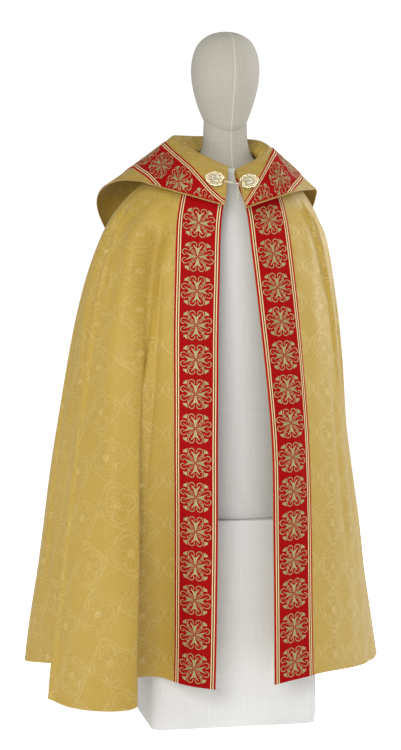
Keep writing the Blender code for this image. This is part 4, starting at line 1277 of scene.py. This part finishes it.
def make_leaf(name):
    """One filigree leaf, flat on its back with its eye at the origin and its point towards +X."""
    centre = LEAF_CENTRE
    reach_x = (PLATE_LENGTH - centre) * 0.84
    reach_y = PLATE_WIDTH * 0.43

    def on_face(out, angle, lift):
        x = centre + reach_x * out * math.cos(angle)
        y = reach_y * out * math.sin(angle)
        return x, y, dome(x, y) + lift

    pieces = [padded_shape(name, leaf_rim(64, 0.97), 0.0006)]
    pieces.append(cord_line("rim", [(x, y, 0.0010) for x, y in leaf_rim(73)], 0.00095))
    pieces.append(ring_at("eye", (0, 0, PLATE_THICK / 2), (EYE_HOLE + EYE_RIM) / 2, (EYE_RIM - EYE_HOLE) / 2))
    for k in range(SCALLOPS):
        angle = math.radians(LEAF_START + LEAF_SWEEP * (k + 0.5) / SCALLOPS)
        petal = []
        for step in range(16):
            turn = math.tau * step / 16
            out = 0.60 + 0.34 * math.cos(turn)
            side = 0.23 * math.sin(turn) * (0.65 + 0.35 * math.cos(turn))
            x = centre + reach_x * (out * math.cos(angle) - side * math.sin(angle))
            y = reach_y * (out * math.sin(angle) + side * math.cos(angle))
            petal.append((x, y, dome(x, y) + 0.0004))
        pieces.append(cord_line("petal", petal, 0.00070, closed=True))
        for out, size in ((0.62, 0.00110), (0.99, 0.00115)):
            pieces.append(bead_at("bead", on_face(out, angle, 0.0003), size))
        vein = [on_face(out, angle, 0.0003) for out in (0.30, 0.45, 0.58)]
        pieces.append(cord_line("vein", vein, 0.0006))
    for major, minor, lift in ((0.0046, 0.00055, 0.0026), (0.0026, 0.0005, 0.0031)):
        pieces.append(ring_at("rosette", (centre, 0, lift), major, minor))
    for k in range(8):
        angle = math.tau * k / 8
        seed = (centre + 0.0036 * math.cos(angle), 0.0036 * math.sin(angle), 0.0030)
        pieces.append(bead_at("seed", seed, 0.0006))
    pieces.append(bead_at("boss", (centre, 0, 0.0030), 0.0017))
    # The backing plate under the filigree takes the gilt with painted shadow; the wires, beads and eye take
    # the pale gilt.
    for i, piece in enumerate(pieces):
        piece.data.materials.append(gilt_painted_shadow if i == 0 else gilt)
    return joined(name, pieces)


def smooth_hanging(turn, run):
    """A point and the face normal of the hood near one place."""
    turns, runs = np.meshgrid([turn - 0.4, turn, turn + 0.4], [run - 0.02, run, run + 0.02])
    points = hood_points(turns, runs)
    return Vector(points[1, 1]), Vector(grid_normals(points)[1, 1])


def along_frame(origin, along, face):
    """A frame whose X axis runs along a direction and whose Z axis faces another."""
    x = along.normalized()
    y = face.cross(x).normalized()
    return Matrix.Translation(origin) @ Matrix((x, y, x.cross(y))).transposed().to_4x4()


def leaf_frame(turn, run, outer_turn, outer_run):
    middle, face = smooth_hanging(turn, run)
    along = smooth_hanging(outer_turn, outer_run)[0] - middle
    along = (along - face * along.dot(face)).normalized()
    return along_frame(middle - along * LEAF_CENTRE + face * PLATE_LIFT, along, face)


def set_gilt(piece, frame_of_it, body_name, node):
    """Carries a finished clasp piece to its place, gives it its metal and body, and hides the node that it
    stands for.
    """
    piece.data.transform(frame_of_it)
    if not piece.data.materials:
        piece.data.materials.append(gilt)
    take_up(piece)
    bpy.ops.object.shade_smooth_by_angle(angle=math.radians(45))
    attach(piece, body_name)
    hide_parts(node)


right_leaf = leaf_frame(20.5, 0.52, 28.0, 0.54)
left_leaf = leaf_frame(352.0, 0.48, 344.0, 0.52)
for side, place in (("right", right_leaf), ("left", left_leaf)):
    leaf = make_leaf("clasp_leaf_" + side)
    bpy.ops.object.transform_apply(location=True, rotation=True, scale=True)
    set_gilt(leaf, place, "root", "clasp_plate_" + side)


def make_link(name, place, body_name, node):
    """A soldered oval link: a ring whose two halves are drawn apart."""
    radius = (LINK_WIDTH - LINK_WIRE) / 2
    deselect()
    bpy.ops.mesh.primitive_torus_add(major_radius=radius, minor_radius=LINK_WIRE / 2,
                                     major_segments=24, minor_segments=10)
    link = named(name)
    stretch = (LINK_LENGTH - LINK_WIDTH) / 2
    for vertex in link.data.vertices:
        if abs(vertex.co.x) > 1e-6:
            vertex.co.x += math.copysign(stretch, vertex.co.x)
    set_gilt(link, place, body_name, node)


bar = (LINK_LENGTH - LINK_WIRE) / 2
play = EYE_HOLE - LINK_WIRE / 2 - SEAM_GAP
lift = right_leaf.to_3x3() @ Vector((0, 0, PLATE_THICK / 2))
start = right_leaf.translation + lift
end = left_leaf.translation + lift
over = (end - start).normalized()
facing = (right_leaf.to_3x3() @ Vector((0, 0, 1)) + left_leaf.to_3x3() @ Vector((0, 0, 1))).normalized()
upright = over.cross(facing)
centre = start + over * (play + bar)
for k in range(4):
    make_link("chain_%d" % (k + 1), along_frame(centre, over, upright if k % 2 == 0 else facing), "root",
              "chain_link_%d" % (k + 1))
    centre = centre + over * LINK_PITCH

hook_start = centre - over * bar
hook_reach = (end - over * play - hook_start).length
hook_line = []
for middle, first, way, steps in ((HOOK_LOOP, 60, 10, 22), (hook_reach - HOOK_LOOP, 90, -10, 19)):
    for step in range(steps):
        angle = math.radians(first + way * step)
        hook_line.append((middle + HOOK_LOOP * math.cos(angle), HOOK_LOOP * math.sin(angle), 0.0))
hook_frame = along_frame(hook_start, over, upright)
hook = cord_line("clasp_s_hook", hook_line, LINK_WIRE / 2)
set_gilt(hook, hook_frame, "root", "clasp_hook")

HANG_SHARE = 0.80           # how far along the hook's straight shank the spare end hangs
level = Vector((over.x, over.y, 0)).normalized()
down = Vector((0, 0, -1))
rise = HOOK_LOOP * (2 * HANG_SHARE - 1)
hang = hook_frame @ Vector((HOOK_LOOP + (hook_reach - 2 * HOOK_LOOP) * HANG_SHARE, rise, 0))
centre = hang + down * (bar - LINK_WIRE - SEAM_GAP)
aside = down.cross(level)
for k in range(6):
    make_link("tail_%d" % (k + 1), along_frame(centre, down, level if k % 2 == 0 else aside),
              "tail_top" if k == 0 else "tail_end", "tail_link_%d" % (k + 1))
    centre = centre + down * LINK_PITCH

bpy.data.objects.remove(medallion)

# ------------------------------------------------------------------ the studio
# A white floor and backdrop, wide soft lights from both sides of the front, and the camera.
deselect()
bpy.ops.mesh.primitive_plane_add(size=60, location=(0, 0, -0.001))
floor = named("studio_floor")
white, sums, shader = new_material("white floor", 0.9, Emission_Color=(1, 1, 1, 1))
seen = sums.node("ShaderNodeLightPath").outputs["Is Camera Ray"]
sums.feed(shader["Base Color"],
          sums.mix(sums.noise(sums.objects(), 2.0), (0.80, 0.80, 0.80, 1.0), (0.83, 0.83, 0.83, 1.0)))
sums.feed(shader["Emission Strength"], sums.plus(0.46, sums.times(seen, 0.50)))
floor.data.materials.append(white)

world = bpy.data.worlds.new("white studio")
bpy.context.scene.world = world
world.use_nodes = True
sums = Sums(world.node_tree)
background = world.node_tree.nodes["Background"]
seen = sums.node("ShaderNodeLightPath").outputs["Is Camera Ray"]
background.inputs["Color"].default_value = (1.0, 1.0, 1.0, 1.0)
sums.feed(background.inputs["Strength"], sums.plus(0.24, sums.times(seen, 0.82)))


def soft_light(name, place, aim, size, power, colour):
    bpy.ops.object.light_add(type="AREA", location=place)
    made = named(name)
    made.rotation_euler = (Vector(aim) - Vector(place)).to_track_quat("-Z", "Y").to_euler()
    made.data.shape = "SQUARE"
    made.data.size = size
    made.data.energy = power
    made.data.color = colour


soft_light("key_left", (-1.9, -3.7, 2.2), (0, 0, 0.9), 1.7, 76, (1.0, 0.98, 0.94))
soft_light("key_right", (3.1, -1.9, 1.9), (0, 0, 0.9), 1.7, 22, (1.0, 0.98, 0.95))
soft_light("rim_left", (-2.9, 1.4, 2.0), (0, 0, 1.0), 1.6, 6, (0.98, 0.99, 1.0))
soft_light("rim_right", (3.0, 1.0, 2.0), (0, 0, 1.0), 1.6, 60, (0.98, 0.99, 1.0))
soft_light("low_left", (-2.4, -0.7, 0.3), (0, 0, 0.1), 0.8, 12, (1.0, 1.0, 0.98))
soft_light("overhead", (0.0, -1.6, 3.6), (0, 0, 1.3), 1.4, 22, (1.0, 0.99, 0.96))

bpy.ops.object.camera_add(location=(-0.957, -4.499, 1.150))
camera = bpy.context.object
camera.rotation_euler = (Vector((-0.061, 0.013, 0.877)) - camera.location).to_track_quat("-Z", "Y").to_euler()
camera.data.lens = 86.6
camera.data.sensor_width = 36.0
bpy.context.scene.camera = camera
bpy.context.scene.view_settings.view_transform = "Standard"
